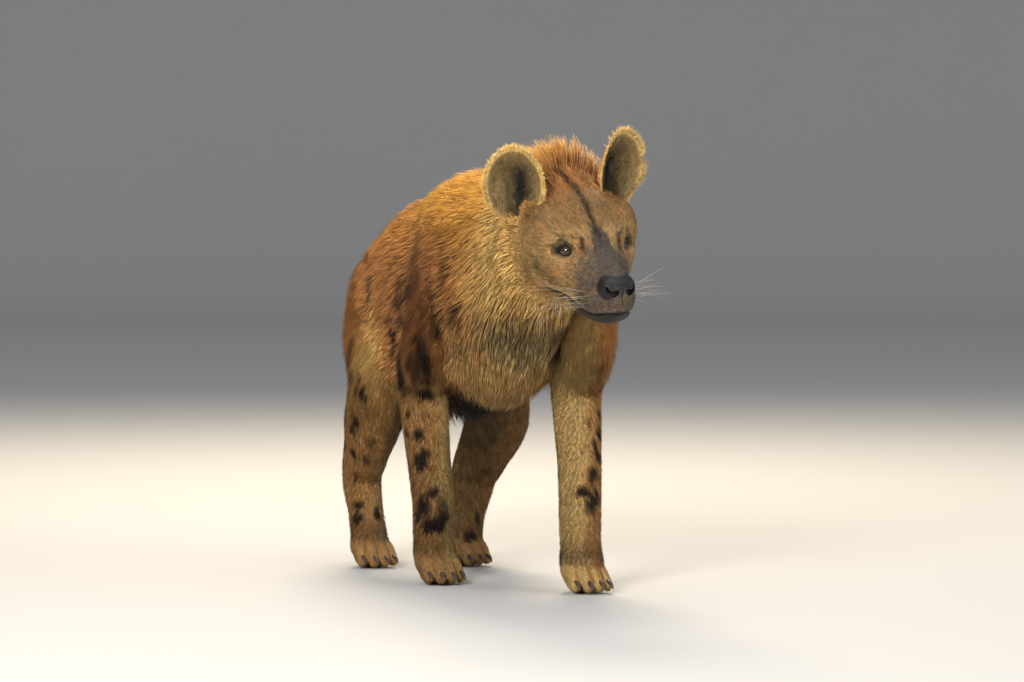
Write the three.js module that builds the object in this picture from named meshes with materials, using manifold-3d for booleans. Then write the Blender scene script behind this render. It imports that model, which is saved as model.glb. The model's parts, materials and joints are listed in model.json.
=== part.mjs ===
// A spotted hyena at life size, standing with its head turned a little to its left.
// Millimetres, +Z up. The animal faces -Y, its left side is +X, and its feet stand on Z = 0.
import * as THREE from "three";
import { mergeVertices } from "three/addons/utils/BufferGeometryUtils.js";
import Module from "manifold-3d";

const wasm = await Module();
wasm.setup();

// Driving sizes
const GAP = 0.3; // between neighbouring pieces
const HEAD_AT = { left: 27, forward: 650, up: 643 }; // midpoint between the eyes
const HEAD_TURN = 7.5; // degrees, to the animal's left
const HEAD_DROOP = 17; // degrees, nose down
const HEAD_TILT = 6.5; // degrees, left ear up
const EYE = { ahead: -2, out: 54, up: 0, radius: 16.5 };
const NOSE = { ahead: 104, up: -41, width: 34, height: 23, depth: 25 };
const EAR = { ahead: -114, out: 97, up: 48, height: 144, width: 104, cup: 28, wall: 5 };
const LIP_PARTING = 1.4; // how far the lower lip lies under the line of the mouth
const FLOOR_FLAT = 4; // how far a sole would reach below the floor before it is cut flat
const CORE_DEPTH = 13; // the torso and neck lie this far inside the outline of their coat
const CREST_DEPTH = 12; // and the mane's own core this far inside its tips

// A point of the body, given as distances to the animal's left, forward and up.
const at = (left, forward, up) => new THREE.Vector3(left, -forward, up);
const BODY_LEFT = new THREE.Vector3(1, 0, 0);
const radians = THREE.MathUtils.degToRad;

// The head's own frame: ahead to the nose, out to the left eye, up to the crown.
const headFrame = new THREE.Matrix4()
  .makeTranslation(at(HEAD_AT.left, HEAD_AT.forward, HEAD_AT.up))
  .multiply(new THREE.Matrix4().makeRotationZ(radians(HEAD_TURN)))
  .multiply(new THREE.Matrix4().makeRotationX(radians(HEAD_DROOP)))
  .multiply(new THREE.Matrix4().makeRotationY(radians(-HEAD_TILT)));
const onHead = (ahead, out, up) => at(out, ahead, up).applyMatrix4(headFrame);
const headWay = (ahead, out, up) => at(out, ahead, up).transformDirection(headFrame);
const HEAD_LEFT = headWay(0, 1, 0);

// Smooth body field: negative inside

const clamp01 = (x) => Math.min(1, Math.max(0, x));
const mix = (a, b, t) => a + (b - a) * t;

// Blends two distances so that the surfaces flow together over a width.
function blend(a, b, width) {
  const h = Math.max(width - Math.abs(a - b), 0) / width;
  return Math.min(a, b) - (h * h * width) / 4;
}

// A bent, tapering body through stations of centre, radius and flatness (side radius over radius).
function chain(stations, side = BODY_LEFT, steps = 5) {
  const curve = new THREE.CatmullRomCurve3(stations.map((s) => s.centre));
  const links = [];
  const count = (stations.length - 1) * steps;
  for (let i = 0; i <= count; i++) {
    const whole = Math.min(Math.floor(i / steps), stations.length - 2);
    const t = i / steps - whole;
    const ease = mix(t, t * t * (3 - 2 * t), 0.5);
    const [a, b] = [stations[whole], stations[whole + 1]];
    links.push({
      centre: curve.getPoint(i / count),
      radius: mix(a.radius, b.radius, ease),
      flat: mix(a.flat, b.flat, ease),
    });
  }
  const field = (p) => {
    let nearest = Infinity;
    for (let i = 0; i < links.length - 1; i++) {
      const a = links[i];
      const b = links[i + 1];
      const [ax, ay, az] = [p.x - a.centre.x, p.y - a.centre.y, p.z - a.centre.z];
      const [bx, by, bz] = [
        b.centre.x - a.centre.x,
        b.centre.y - a.centre.y,
        b.centre.z - a.centre.z,
      ];
      const t = clamp01((ax * bx + ay * by + az * bz) / (bx * bx + by * by + bz * bz));
      let [dx, dy, dz] = [ax - bx * t, ay - by * t, az - bz * t];
      const sideways = dx * side.x + dy * side.y + dz * side.z;
      const stretch = sideways / mix(a.flat, b.flat, t) - sideways;
      dx += side.x * stretch;
      dy += side.y * stretch;
      dz += side.z * stretch;
      nearest = Math.min(nearest, Math.hypot(dx, dy, dz) - mix(a.radius, b.radius, t));
    }
    return nearest;
  };
  return { field, curve, links };
}

// A muscle or bulge: an ellipsoid whose three radii lie along the given frame's axes.
function bulge(centre, along, sideRadius, upRadius, frame = new THREE.Matrix4()) {
  const inverse = new THREE.Matrix4().extractRotation(frame).invert();
  const q = new THREE.Vector3();
  return (p) => {
    q.copy(p).sub(centre).applyMatrix4(inverse);
    const k0 = Math.hypot(q.x / sideRadius, q.y / along, q.z / upRadius);
    const k1 = Math.hypot(q.x / sideRadius ** 2, q.y / along ** 2, q.z / upRadius ** 2);
    return k1 > 0 ? (k0 * (k0 - 1)) / k1 : -Math.min(along, sideRadius, upRadius);
  };
}

const station = (centre, radius, flat) => ({ centre, radius, flat });

// Trunk, from the rump to the chest: forward, up, radius, flatness.
const TRUNK = [
  [-335, 548, 84, 0.96],
  [-275, 545, 122, 0.86],
  [-180, 543, 158, 0.81],
  [-60, 543, 194, 0.73],
  [70, 543, 214, 0.68],
  [185, 550, 220, 0.645],
].map(([forward, up, radius, flat]) => station(at(0, forward, up), radius, flat));

// Neck, from between the shoulders to behind the skull.
const NECK = [
  [0, 185, 550, 220, 0.645],
  [0, 290, 586, 182, 0.73],
  [2, 365, 618, 154, 0.8],
  [5, 435, 646, 128, 0.87],
].map(([left, forward, up, radius, flat]) => station(at(left, forward, up), radius, flat));

// Head, from the nape to the muzzle: ahead, up, radius, flatness in the head's frame.
const HEAD = [
  [-150, -2, 95, 0.97],
  [-105, -8, 92, 1.02],
  [-65, -14, 88, 1.03],
  [-28, -28, 79, 1.0],
  [8, -42, 67, 0.93],
  [38, -52, 58, 0.86],
  [66, -58, 52, 0.82],
  [84, -60, 46, 0.83],
].map(([ahead, up, radius, flat]) => station(onHead(ahead, 0, up), radius, flat));

const trunk = chain(TRUNK);
const neck = chain([...NECK, HEAD[0]]);
const skull = chain(HEAD, HEAD_LEFT);

// Pairs of bulges of the head: ahead, out, up, then radii ahead, out, up, and the blend.
const HEAD_BULGES = [
  [-58, 62, -44, 56, 36, 50, 30], // jaw muscle
  [-64, 70, 26, 48, 32, 42, 34], // temple
  [-16, 60, -18, 36, 18, 14, 20], // cheekbone
  [-4, 40, 25, 32, 22, 14, 24], // brow
  [66, 24, -68, 38, 21, 21, 18], // whisker pad
  [-108, 70, 48, 28, 28, 34, 34], // ear base
];
const HEAD_MIDLINE = [
  [-84, 0, 50, 54, 50, 34, 34], // crown
  [70, 0, -14, 40, 18, 12, 18], // bridge of the nose
  [78, 0, -99, 24, 25, 17, 14], // chin
];
const headBulges = [
  ...HEAD_BULGES.flatMap((b) => [1, -1].map((s) => [b[0], b[1] * s, ...b.slice(2)])),
  ...HEAD_MIDLINE,
].map(([ahead, out, up, ra, ro, ru, width]) => ({
  field: bulge(onHead(ahead, out, up), ra, ro, ru, headFrame),
  width,
}));
const headField = (p) =>
  headBulges.reduce((d, b) => blend(d, b.field(p), b.width), skull.field(p));
const breast = bulge(at(0, 225, 405), 125, 112, 68);
const axialField = (p) =>
  blend(blend(blend(trunk.field(p), neck.field(p), 40), breast(p), 50), headField(p), 30);

// Meshes from the field

const manifoldOf = (geometry) => {
  const bare = new THREE.BufferGeometry();
  bare.setAttribute("position", geometry.getAttribute("position"));
  bare.setIndex(geometry.index);
  const merged = mergeVertices(bare, 1e-4);
  const triVerts = new Uint32Array(merged.index.array);
  const make = () =>
    new wasm.Manifold(
      new wasm.Mesh({ numProp: 3, vertProperties: merged.attributes.position.array, triVerts }),
    );
  const made = make();
  if (made.volume() > 0) return made;
  for (let i = 0; i < triVerts.length; i += 3) {
    [triVerts[i + 1], triVerts[i + 2]] = [triVerts[i + 2], triVerts[i + 1]];
  }
  return make();
};

// Keeps the largest closed surface of a solid.
const largest = (solid) =>
  solid.decompose().reduce((best, piece) => (piece.volume() > best.volume() ? piece : best));

// The distance from a point inside the field to its surface along a ray.
function reach(field, origin, way, level) {
  const p = new THREE.Vector3();
  const value = (t) => field(p.copy(way).multiplyScalar(t).add(origin)) - level;
  const stride = 5;
  const furthest = 400;
  let out = stride;
  while (value(out) < 0 && out < furthest) out += stride;
  let inside = out - stride;
  for (let i = 0; i < 16; i++) {
    const middle = (inside + out) / 2;
    if (value(middle) < 0) inside = middle;
    else out = middle;
  }
  return inside;
}

// A closed skin cast from a curve onto a field, from one share of the curve to another.
// An end is round, cast as a fan onto the field, or flat, cut square to the curve.
function castLoft(options) {
  const { field, curve, from, to, rings, sides, fan = 4, level = 0 } = options;
  const { roundStart = true, roundEnd = true } = options;
  const side = options.side ?? (() => BODY_LEFT);
  const vertices = [];
  const faces = [];
  const add = (v) => vertices.push(v.x, v.y, v.z) / 3 - 1;
  const ringAt = (share, tilt) => {
    const centre = curve.getPointAt(share);
    const along = curve.getTangentAt(share);
    const across = side(share).clone();
    across.addScaledVector(along, -across.dot(along)).normalize();
    const upward = along.clone().cross(across);
    return Array.from({ length: sides }, (_, i) => {
      const turn = (2 * Math.PI * i) / sides;
      const way = across
        .clone()
        .multiplyScalar(Math.cos(turn))
        .addScaledVector(upward, Math.sin(turn))
        .multiplyScalar(Math.cos(tilt))
        .addScaledVector(along, Math.sin(tilt));
      return add(way.clone().multiplyScalar(reach(field, centre, way, level)).add(centre));
    });
  };
  const poleAt = (share, sign, isRound) => {
    const centre = curve.getPointAt(share);
    if (!isRound) return add(centre);
    const way = curve.getTangentAt(share).multiplyScalar(sign);
    return add(way.clone().multiplyScalar(reach(field, centre, way, level)).add(centre));
  };
  const all = [];
  const quarter = Math.PI / 2;
  if (roundStart) for (let k = fan - 1; k > 0; k--) all.push(ringAt(from, (-quarter * k) / fan));
  for (let i = 0; i <= rings; i++) all.push(ringAt(mix(from, to, i / rings), 0));
  if (roundEnd) for (let k = 1; k < fan; k++) all.push(ringAt(to, (quarter * k) / fan));
  const first = poleAt(from, -1, roundStart);
  const last = poleAt(to, 1, roundEnd);
  for (let i = 0; i < sides; i++) {
    const j = (i + 1) % sides;
    faces.push(first, all[0][j], all[0][i]);
    for (let r = 0; r < all.length - 1; r++) {
      const [a, b, c, d] = [all[r][i], all[r][j], all[r + 1][i], all[r + 1][j]];
      faces.push(a, b, c, b, d, c);
    }
    faces.push(last, all.at(-1)[i], all.at(-1)[j]);
  }
  const geometry = new THREE.BufferGeometry();
  geometry.setAttribute("position", new THREE.Float32BufferAttribute(vertices, 3));
  geometry.setIndex(faces);
  return manifoldOf(geometry);
}

// Torso, neck and head along one spine

// The line that the torso, neck and head are cast from, bent gently so that no sections cross.
const spine = new THREE.CatmullRomCurve3([
  at(0, -385, 552),
  at(0, -190, 556),
  at(0, 0, 566),
  at(0, 185, 585),
  at(2, 320, 608),
  at(8, 430, 626),
  onHead(-110, 0, -38),
  onHead(-45, 0, -36),
  onHead(20, 0, -42),
  onHead(84, 0, -48),
]);
const shareNear = (point) => {
  const samples = 400;
  let best = 0;
  for (let i = 0; i <= samples; i++) {
    const here = spine.getPointAt(i / samples).distanceTo(point);
    if (here < spine.getPointAt(best / samples).distanceTo(point)) best = i;
  }
  return best / samples;
};
const spineLength = spine.getLength();
const HALF_GAP = GAP / 2 / spineLength;
const NECK_CUT = shareNear(at(0, 318, 608));
const HEAD_CUT = shareNear(onHead(-150, 0, -38));
const sideOfSpine = (share) =>
  BODY_LEFT.clone().lerp(HEAD_LEFT, clamp01((share - NECK_CUT) / (HEAD_CUT - NECK_CUT)));
const alongSpine = { field: axialField, curve: spine, side: sideOfSpine };

// A raised ridge of hair along the nape and back: left, forward, up, radius, flatness.
const CREST = [
  station(onHead(-74, 0, 64), 20, 1.4),
  station(onHead(-122, 0, 98), 52, 0.86),
  station(at(4, 448, 748), 66, 0.66),
  station(at(0, 330, 734), 56, 0.6),
  station(at(0, 180, 728), 48, 0.6),
  station(at(0, 20, 716), 36, 0.64),
  station(at(0, -150, 690), 24, 0.74),
];
const crest = chain(CREST);
const coatField = (p) => blend(axialField(p), crest.field(p), 20);
// The core under the long locks; on the head it comes back to the skin of the short fur.
const bodyField = (p) => {
  const alongBody = clamp01((-p.y - 470) / 70);
  const depth = CORE_DEPTH * (1 - alongBody);
  return blend(axialField(p) + depth, crest.field(p) + CREST_DEPTH, 24);
};

// Each piece cast at a level outside its own surface also reaches on past its flat ends.
const pastEnd = (level) => (level / GAP) * 2 * HALF_GAP;
const torsoLoft = (level) =>
  castLoft({
    ...alongSpine, field: bodyField, level,
    from: 0, to: NECK_CUT - HALF_GAP + pastEnd(level),
    rings: 17, sides: 24, roundEnd: false, fan: 5,
  });
const neckLoft = (level) =>
  castLoft({
    ...alongSpine, field: bodyField, level,
    from: NECK_CUT + HALF_GAP - pastEnd(level), to: HEAD_CUT - HALF_GAP + pastEnd(level),
    rings: 6, sides: 24, roundStart: false, roundEnd: false,
  });
const headLoft = (level) =>
  castLoft({
    ...alongSpine, field: bodyField, level,
    from: HEAD_CUT + HALF_GAP - pastEnd(level), to: 1,
    rings: 19, sides: 26, roundStart: false, fan: 4,
  });

// A repeatable random draw between two values.
let seed = 41;
function draw(low, high) {
  seed = (seed * 16807) % 2147483647;
  return mix(low, high, seed / 2147483647);
}

const slope = (field, p) => {
  const step = 3;
  const q = p.clone();
  const along = (axis) => {
    q.copy(p)[axis] += step;
    const ahead = field(q);
    q.copy(p)[axis] -= step;
    return ahead - field(q);
  };
  return new THREE.Vector3(along("x"), along("y"), along("z")).normalize();
};

// The path of a flat, tapered lock: it starts sunk in the field, follows it and rises to its tip.
function lockPath({ field, root, lie, length, rise, sink, sway }) {
  const shares = [0, 0.4, 0.74, 1];
  const heights = [-sink, 0.3 * rise, 0.75 * rise, rise];
  const p = root.clone();
  const way = lie.clone();
  return shares.map((share, i) => {
    p.addScaledVector(way, (share - (shares[i - 1] ?? 0)) * length);
    for (let k = 0; k < 3; k++) p.addScaledVector(slope(field, p), heights[i] - field(p));
    const outward = slope(field, p);
    way.addScaledVector(outward, -way.dot(outward)).normalize();
    const across = way.clone().cross(outward);
    way.addScaledVector(across, sway).normalize();
    return { p: p.clone(), outward, across };
  });
}

const LOCK_WIDTHS = [0.8, 1, 0.7];
const LOCK_THICKNESS = [1, 0.8, 0.55];
function lockSolid(lock, grow = 0) {
  const vertices = [];
  const faces = [];
  const last = lock.path.length - 1;
  lock.path.forEach(({ p, outward, across }, i) => {
    if (i === last) return;
    const w = (lock.width / 2) * LOCK_WIDTHS[i] + grow * 1.5;
    const t = lock.thickness * LOCK_THICKNESS[i] + grow * 1.5;
    for (const [a, o] of [[w, -0.35 * t], [0, t], [-w, -0.35 * t], [0, -t]]) {
      const corner = p.clone().addScaledVector(across, a).addScaledVector(outward, o);
      vertices.push(corner.x, corner.y, corner.z);
    }
  });
  const tip = lock.path[last].p.clone();
  tip.add(tip.clone().sub(lock.path[last - 1].p).normalize().multiplyScalar(grow * 6));
  vertices.push(tip.x, tip.y, tip.z);
  const end = last * 4;
  for (let i = 0; i < 4; i++) {
    const j = (i + 1) % 4;
    for (let r = 0; r < last - 1; r++) {
      const [a, b, c, d] = [r * 4 + i, r * 4 + j, r * 4 + 4 + i, r * 4 + 4 + j];
      faces.push(a, b, c, b, d, c);
    }
    faces.push((last - 1) * 4 + i, (last - 1) * 4 + j, end);
  }
  faces.push(0, 2, 1, 0, 3, 2);
  const geometry = new THREE.BufferGeometry();
  geometry.setAttribute("position", new THREE.Float32BufferAttribute(vertices, 3));
  geometry.setIndex(faces);
  return manifoldOf(geometry);
}

// Rows of locks round the spine: each asks the coat for its form at a share and a turn.
function locksRound({ from, to, rows, turns, form }) {
  const locks = [];
  const spread = (turns.at(-1) - turns[0]) / (turns.length - 1);
  for (let r = 0; r < rows; r++) {
    for (const place of turns) {
      const share = mix(from, to, (r + draw(0.3, 0.7)) / rows);
      const turn = radians(place + spread * ((r % 2) / 2 + draw(-0.12, 0.12)));
      const centre = spine.getPointAt(share);
      const along = spine.getTangentAt(share);
      const across = sideOfSpine(share).clone();
      across.addScaledVector(along, -across.dot(along)).normalize();
      const upward = along.clone().cross(across);
      const way = across
        .multiplyScalar(Math.cos(turn))
        .addScaledVector(upward, Math.sin(turn));
      const root = way.clone().multiplyScalar(reach(bodyField, centre, way, 0)).add(centre);
      const shape = form({ share, up: Math.sin(turn), root });
      const outward = slope(bodyField, root);
      const lie = shape.lie.addScaledVector(outward, -shape.lie.dot(outward)).normalize();
      const path = lockPath({
        field: bodyField, root, sink: 15, sway: draw(-0.16, 0.16), ...shape, lie,
      });
      locks.push({ path, width: shape.width, thickness: shape.thickness ?? 9 });
    }
  }
  return locks;
}
const FLANK_TURNS = [120, 154, 188, 222, 256, 290, 324, 358, 392]; // degrees, from above the right
const MANE_TURNS = [76, 96];

// The upright mane of the nape and back, which leans back and shortens towards the rump.
function maneForm({ share }) {
  const full = clamp01((share - 0.16) / 0.4);
  return {
    lie: new THREE.Vector3(draw(-0.12, 0.12), 1, 0),
    length: draw(0.9, 1.1) * mix(84, 104, full),
    width: draw(0.9, 1.1) * mix(46, 54, full),
    rise: draw(0.88, 1.12) * mix(20, 38, full),
    thickness: 10,
  };
}

// The lie of the body's coat: back along the flanks, down under the throat and the belly.
function coatForm({ up, root }) {
  const below = clamp01((-up - 0.45) / 0.4);
  const chest = clamp01((-root.y - 150) / 140);
  return {
    lie: new THREE.Vector3(0, mix(1, 0.75, chest * below), mix(-0.42, -0.9, below * chest)),
    length: draw(0.9, 1.12) * mix(138, 112, below),
    width: draw(0.88, 1.1) * mix(84, 62, below),
    rise: draw(0.85, 1.15) * mix(15, 28, below),
  };
}

// Limbs

// Foreleg: the shoulder blade, upper arm, forearm, wrist and paw of one side.
function foreleg(side, elbowLeft, elbowForward, footLeft, footForward) {
  const paw = { left: footLeft, forward: footForward };
  const wrist = mix(elbowForward, footForward, 0.72);
  const below = (t) => mix(elbowLeft, footLeft, t);
  const above = (t) => mix(elbowLeft, 74 * side, t);
  return {
    paw,
    stations: [
      station(at(above(1), elbowForward + 16, 668), 56, 0.5),
      station(at(above(0.45), elbowForward + 52, 600), 74, 0.52),
      station(at(above(0.12), elbowForward + 74, 515), 76, 0.56),
      station(at(above(0), elbowForward + 42, 445), 70, 0.62),
      station(at(elbowLeft, elbowForward, 380), 55, 0.74),
      station(at(below(0.22), mix(elbowForward, footForward, 0.2), 310), 45, 0.88),
      station(at(below(0.5), mix(elbowForward, footForward, 0.5), 225), 38, 0.94),
      station(at(below(0.8), wrist, 148), 35, 0.98),
      station(at(below(0.95), footForward - 14, 88), 31, 1.06),
      station(at(footLeft, footForward - 4, 40), 35, 1.08),
    ],
  };
}

// Hind leg: the thigh, shank, hock, long foot and paw of one side.
function hindleg(side, kneeLeft, kneeForward, hockForward, footLeft, footForward) {
  const paw = { left: footLeft, forward: footForward };
  const across = (t) => mix(kneeLeft, footLeft, t);
  return {
    paw,
    stations: [
      station(at(48 * side, -278, 590), 78, 0.62),
      station(at(60 * side, -268, 520), 96, 0.58),
      station(at(76 * side, mix(-270, kneeForward, 0.4), 445), 94, 0.6),
      station(at(mix(78 * side, kneeLeft, 0.75), kneeForward - 10, 368), 78, 0.68),
      station(at(across(0.08), mix(kneeForward, hockForward, 0.32), 295), 66, 0.74),
      station(at(across(0.35), mix(kneeForward, hockForward, 0.72), 228), 50, 0.76),
      station(at(across(0.58), hockForward, 172), 37, 0.86),
      station(at(across(0.8), mix(hockForward, footForward, 0.4), 112), 29, 1.0),
      station(at(across(0.95), mix(hockForward, footForward, 0.8), 66), 29, 1.08),
      station(at(footLeft, footForward - 4, 38), 32, 1.1),
    ],
  };
}

const LIMBS = {
  foreleg_right: foreleg(-1, -112, 125, -88, 138),
  foreleg_left: foreleg(1, 126, 296, 99, 392),
  hindleg_right: hindleg(-1, -94, -160, -268, -92, -222),
  hindleg_left: hindleg(1, 138, -92, -215, 88, -185),
};

// Four toes of a paw: across, forward and size, from the inner to the outer toe.
const TOES = [
  { across: -27, forward: -8, size: 0.92 },
  { across: -9.5, forward: 3, size: 1 },
  { across: 9.5, forward: 3, size: 1 },
  { across: 27, forward: -8, size: 0.92 },
];
const toePoint = (paw, toe, forward, up) =>
  at(paw.left + toe.across * (1 + forward * 0.003), paw.forward + toe.forward + forward, up);

function toeSolid(paw, toe) {
  const body = chain([
    station(toePoint(paw, toe, 6, 40), 15 * toe.size, 0.85),
    station(toePoint(paw, toe, 30, 34), 15 * toe.size, 0.8),
    station(toePoint(paw, toe, 50, 15), 13.5 * toe.size, 0.85),
  ], BODY_LEFT, 3);
  return castLoft({ ...body, from: 0, to: 1, rings: 2, sides: 6, fan: 2 });
}

// A blunt claw that leaves the toe forward and down; grow widens it for its socket.
function clawSolid(paw, toe, grow = 0) {
  const path = new THREE.CatmullRomCurve3([
    toePoint(paw, toe, 52, 22),
    toePoint(paw, toe, 66, 19),
    toePoint(paw, toe, 76, 9),
  ]);
  const width = (t) => mix(4.4, 1.4, t * t) + grow;
  const field = (p) => {
    let nearest = Infinity;
    for (let i = 0; i <= 16; i++) {
      const t = i / 16;
      nearest = Math.min(nearest, path.getPoint(t).distanceTo(p) - width(t));
    }
    return nearest;
  };
  return castLoft({ field, curve: path, from: 0, to: 1, rings: 2, sides: 5, fan: 1 });
}

const floorCutter = manifoldOf(
  new THREE.BoxGeometry(2000, 3000, 200).translate(0, 0, -100),
);

function limbSolid(limb) {
  const body = chain(limb.stations);
  const leg = castLoft({ ...body, from: 0, to: 1, rings: 14, sides: 10, fan: 3 });
  const pad = manifoldOf(
    new THREE.SphereGeometry(1, 10, 5)
      .scale(31, 27, 20)
      .translate(limb.paw.left, -limb.paw.forward - 6, 20 - FLOOR_FLAT),
  );
  const toes = TOES.map((toe) => toeSolid(limb.paw, toe));
  return wasm.Manifold.union([leg, pad, ...toes]).subtract(floorCutter);
}

// Face

const eyeCentre = (side) => onHead(EYE.ahead, EYE.out * side, EYE.up);
const eyeball = (side, grow = 0) => {
  const centre = eyeCentre(side);
  return manifoldOf(
    new THREE.SphereGeometry(EYE.radius + grow, 12, 8).translate(centre.x, centre.y, centre.z),
  );
};

// The gaze of an eye, and a frame that looks along it.
const eyeFrame = (side) => {
  const gaze = headWay(1, 0.5 * side, 0.08);
  const across = gaze.clone().cross(headWay(0, 0, 1)).normalize();
  const upward = across.clone().cross(gaze).normalize();
  return new THREE.Matrix4()
    .makeBasis(across, upward, gaze)
    .setPosition(eyeCentre(side));
};
const lidRing = (side) =>
  manifoldOf(
    new THREE.TorusGeometry(14.5, 4.2, 6, 16)
      .scale(1.14, 0.78, 1)
      .translate(0, 0, 9)
      .applyMatrix4(eyeFrame(side)),
  );
const lidOpening = (side) =>
  manifoldOf(
    new THREE.SphereGeometry(1, 14, 6)
      .scale(14.5, 9.5, 32)
      .translate(0, 0, 28)
      .applyMatrix4(eyeFrame(side)),
  );

const inHead = (geometry, ahead, out, up) =>
  manifoldOf(geometry.translate(out, -ahead, up).applyMatrix4(headFrame));

// The nose leather, with a comma-shaped nostril at each side.
function noseSolid(grow = 0) {
  const { width, height, depth } = NOSE;
  const pad = inHead(
    new THREE.SphereGeometry(1, 16, 9).scale(width + grow, depth + grow, height + grow),
    NOSE.ahead, 0, NOSE.up,
  );
  if (grow) return pad;
  const nostrils = [1, -1].flatMap((side) => [
    inHead(
      new THREE.SphereGeometry(1, 10, 6).scale(7, 16, 7).rotateZ(radians(-24 * side)),
      NOSE.ahead + 23, 14 * side, NOSE.up - 3,
    ),
    inHead(
      new THREE.SphereGeometry(1, 8, 5).scale(9, 9, 2.8).rotateY(radians(-24 * side)),
      NOSE.ahead + 13, 26 * side, NOSE.up + 1,
    ),
  ]);
  return pad.subtract(wasm.Manifold.union(nostrils));
}

// The line of the mouth seen from the side: ahead and up.
const MOUTH = [
  [-12, -76],
  [8, -89],
  [36, -99],
  [62, -103],
  [86, -98],
  [112, -88],
  [150, -78],
];
// Everything below the line of the mouth, which parts the lips, and ahead of its corner.
function jawRegion(grow, lips = grow) {
  const outline = new THREE.Shape();
  outline.moveTo(MOUTH[0][0] - grow, MOUTH[0][1] + lips);
  outline.splineThru(MOUTH.slice(1).map(([a, u]) => new THREE.Vector2(a, u + lips)));
  outline.lineTo(150, -170);
  outline.lineTo(MOUTH[0][0] - 34 - grow, -170);
  outline.closePath();
  const width = 180;
  const block = new THREE.ExtrudeGeometry(outline, {
    depth: width, bevelEnabled: false, curveSegments: 3,
  });
  // The shape's x runs ahead and its y runs up.
  block.translate(0, 0, -width / 2);
  block.applyMatrix4(
    new THREE.Matrix4().makeBasis(
      new THREE.Vector3(0, -1, 0),
      new THREE.Vector3(0, 0, 1),
      new THREE.Vector3(-1, 0, 0),
    ),
  );
  block.applyMatrix4(headFrame);
  return manifoldOf(block);
}

// Ears

// A cupped, rounded ear: a flattened ball whose front is pressed in.
function earSolid(side, grow = 0) {
  const ball = new THREE.SphereGeometry(1, 18, 10);
  const position = ball.attributes.position;
  const v = new THREE.Vector3();
  for (let i = 0; i < position.count; i++) {
    v.fromBufferAttribute(position, i);
    const across = v.x;
    const upward = v.y;
    const inward = Math.hypot(across, upward);
    const height = (upward + 1) / 2; // 0 at the root, 1 at the tip
    const waist = 1 - 0.42 * (1 - height) ** 2.2 - 0.1 * height ** 4;
    const cup = EAR.cup * (1 - inward ** 2) * (0.4 + 0.6 * Math.sin(Math.PI * height ** 0.8));
    const wall = (EAR.wall + grow) * Math.sign(v.z) * Math.sqrt(Math.abs(v.z));
    position.setXYZ(
      i,
      across * (EAR.width / 2) * waist * side,
      upward * (EAR.height / 2) + EAR.height / 2 - 22,
      wall - cup + 10 * across * across,
    );
  }
  // The ear opens ahead and outward, and leans out from the crown.
  const opening = headWay(0.86, 0.5 * side, -0.05);
  const tip = headWay(-0.16, -0.03 * side, 0.97);
  const across = tip.clone().cross(opening).normalize();
  const upward = opening.clone().cross(across).normalize();
  ball.applyMatrix4(
    new THREE.Matrix4()
      .makeBasis(across.multiplyScalar(side), upward, opening)
      .setPosition(onHead(EAR.ahead, EAR.out * side, EAR.up)),
  );
  return manifoldOf(ball);
}

// Tail

const TAIL = [
  station(at(0, -385, 590), 33, 0.9),
  station(at(2, -442, 548), 25, 0.95),
  station(at(6, -472, 474), 20, 1),
  station(at(12, -480, 394), 18, 1),
  station(at(18, -476, 330), 15, 1),
  station(at(23, -466, 288), 8, 1),
];

// The pieces, each cut clear of what it grows from
const torsoGrown = torsoLoft(GAP);
const neckGrown = neckLoft(GAP);
const headGrown = headLoft(GAP);
const tail = chain(TAIL);
const legs = Object.fromEntries(
  Object.entries(LIMBS).map(([name, limb]) => [name, chain(limb.stations).field]),
);
const nearEar = (p) =>
  Math.min(...[1, -1].map((side) => p.distanceTo(onHead(EAR.ahead, EAR.out * side, EAR.up + 36))));

// Locks that would meet a limb, an ear or the tail are left out.
const clearance = 9;
const isClear = ({ path }) =>
  path.every(({ p }) => {
    if (Object.values(legs).some((field) => field(p) < clearance)) return false;
    return nearEar(p) > 84 && tail.field(p) > clearance;
  });
const locksFrom = (from, to, flankRows, maneRows) =>
  [
    ...locksRound({ from, to, rows: flankRows, turns: FLANK_TURNS, form: coatForm }),
    ...locksRound({ from, to, rows: maneRows, turns: MANE_TURNS, form: maneForm }),
  ].filter(isClear);
const torsoLocks = locksFrom(0.02, NECK_CUT - 0.035, 7, 9);
const neckLocks = locksFrom(NECK_CUT + 0.02, HEAD_CUT - 0.005, 3, 4);
const headLocks = locksFrom(HEAD_CUT + 0.01, HEAD_CUT + 0.07, 1, 2);

// Locks down the outer side of the shoulder and thigh, and round the tail.
function locksAlong({ body, ways, shares, length, width, rise, lie }) {
  return shares.flatMap((share) =>
    ways.map((way) => {
      const centre = body.curve.getPointAt(clamp01(share + draw(-0.012, 0.012)));
      const outward = way.clone().normalize();
      const root = outward.multiplyScalar(reach(body.field, centre, outward, 0)).add(centre);
      const path = lockPath({
        field: body.field, root, lie: lie.clone(), length: length * draw(0.9, 1.12),
        rise: rise * draw(0.85, 1.15), sink: 13, sway: draw(-0.14, 0.14),
      });
      return { path, width: width * draw(0.9, 1.1), thickness: 8 };
    }),
  );
}
const legLocks = (limb) =>
  locksAlong({
    body: chain(limb.stations),
    ways: [new THREE.Vector3(Math.sign(limb.paw.left), -0.25, 0)],
    shares: [0.12, 0.24, 0.36],
    length: 104, width: 78, rise: 13, lie: new THREE.Vector3(0, 0.3, -0.95),
  });
const tailLocks = locksAlong({
  body: tail,
  ways: [20, 140, 260].map((turn) =>
    new THREE.Vector3(Math.cos(radians(turn)), Math.sin(radians(turn)), 0)),
  shares: [0.42, 0.62, 0.82],
  length: 101, width: 36, rise: 18, lie: new THREE.Vector3(0.04, 0.05, -1),
});
const grown = (locks) => wasm.Manifold.union(locks.map((lock) => lockSolid(lock, GAP)));
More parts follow.
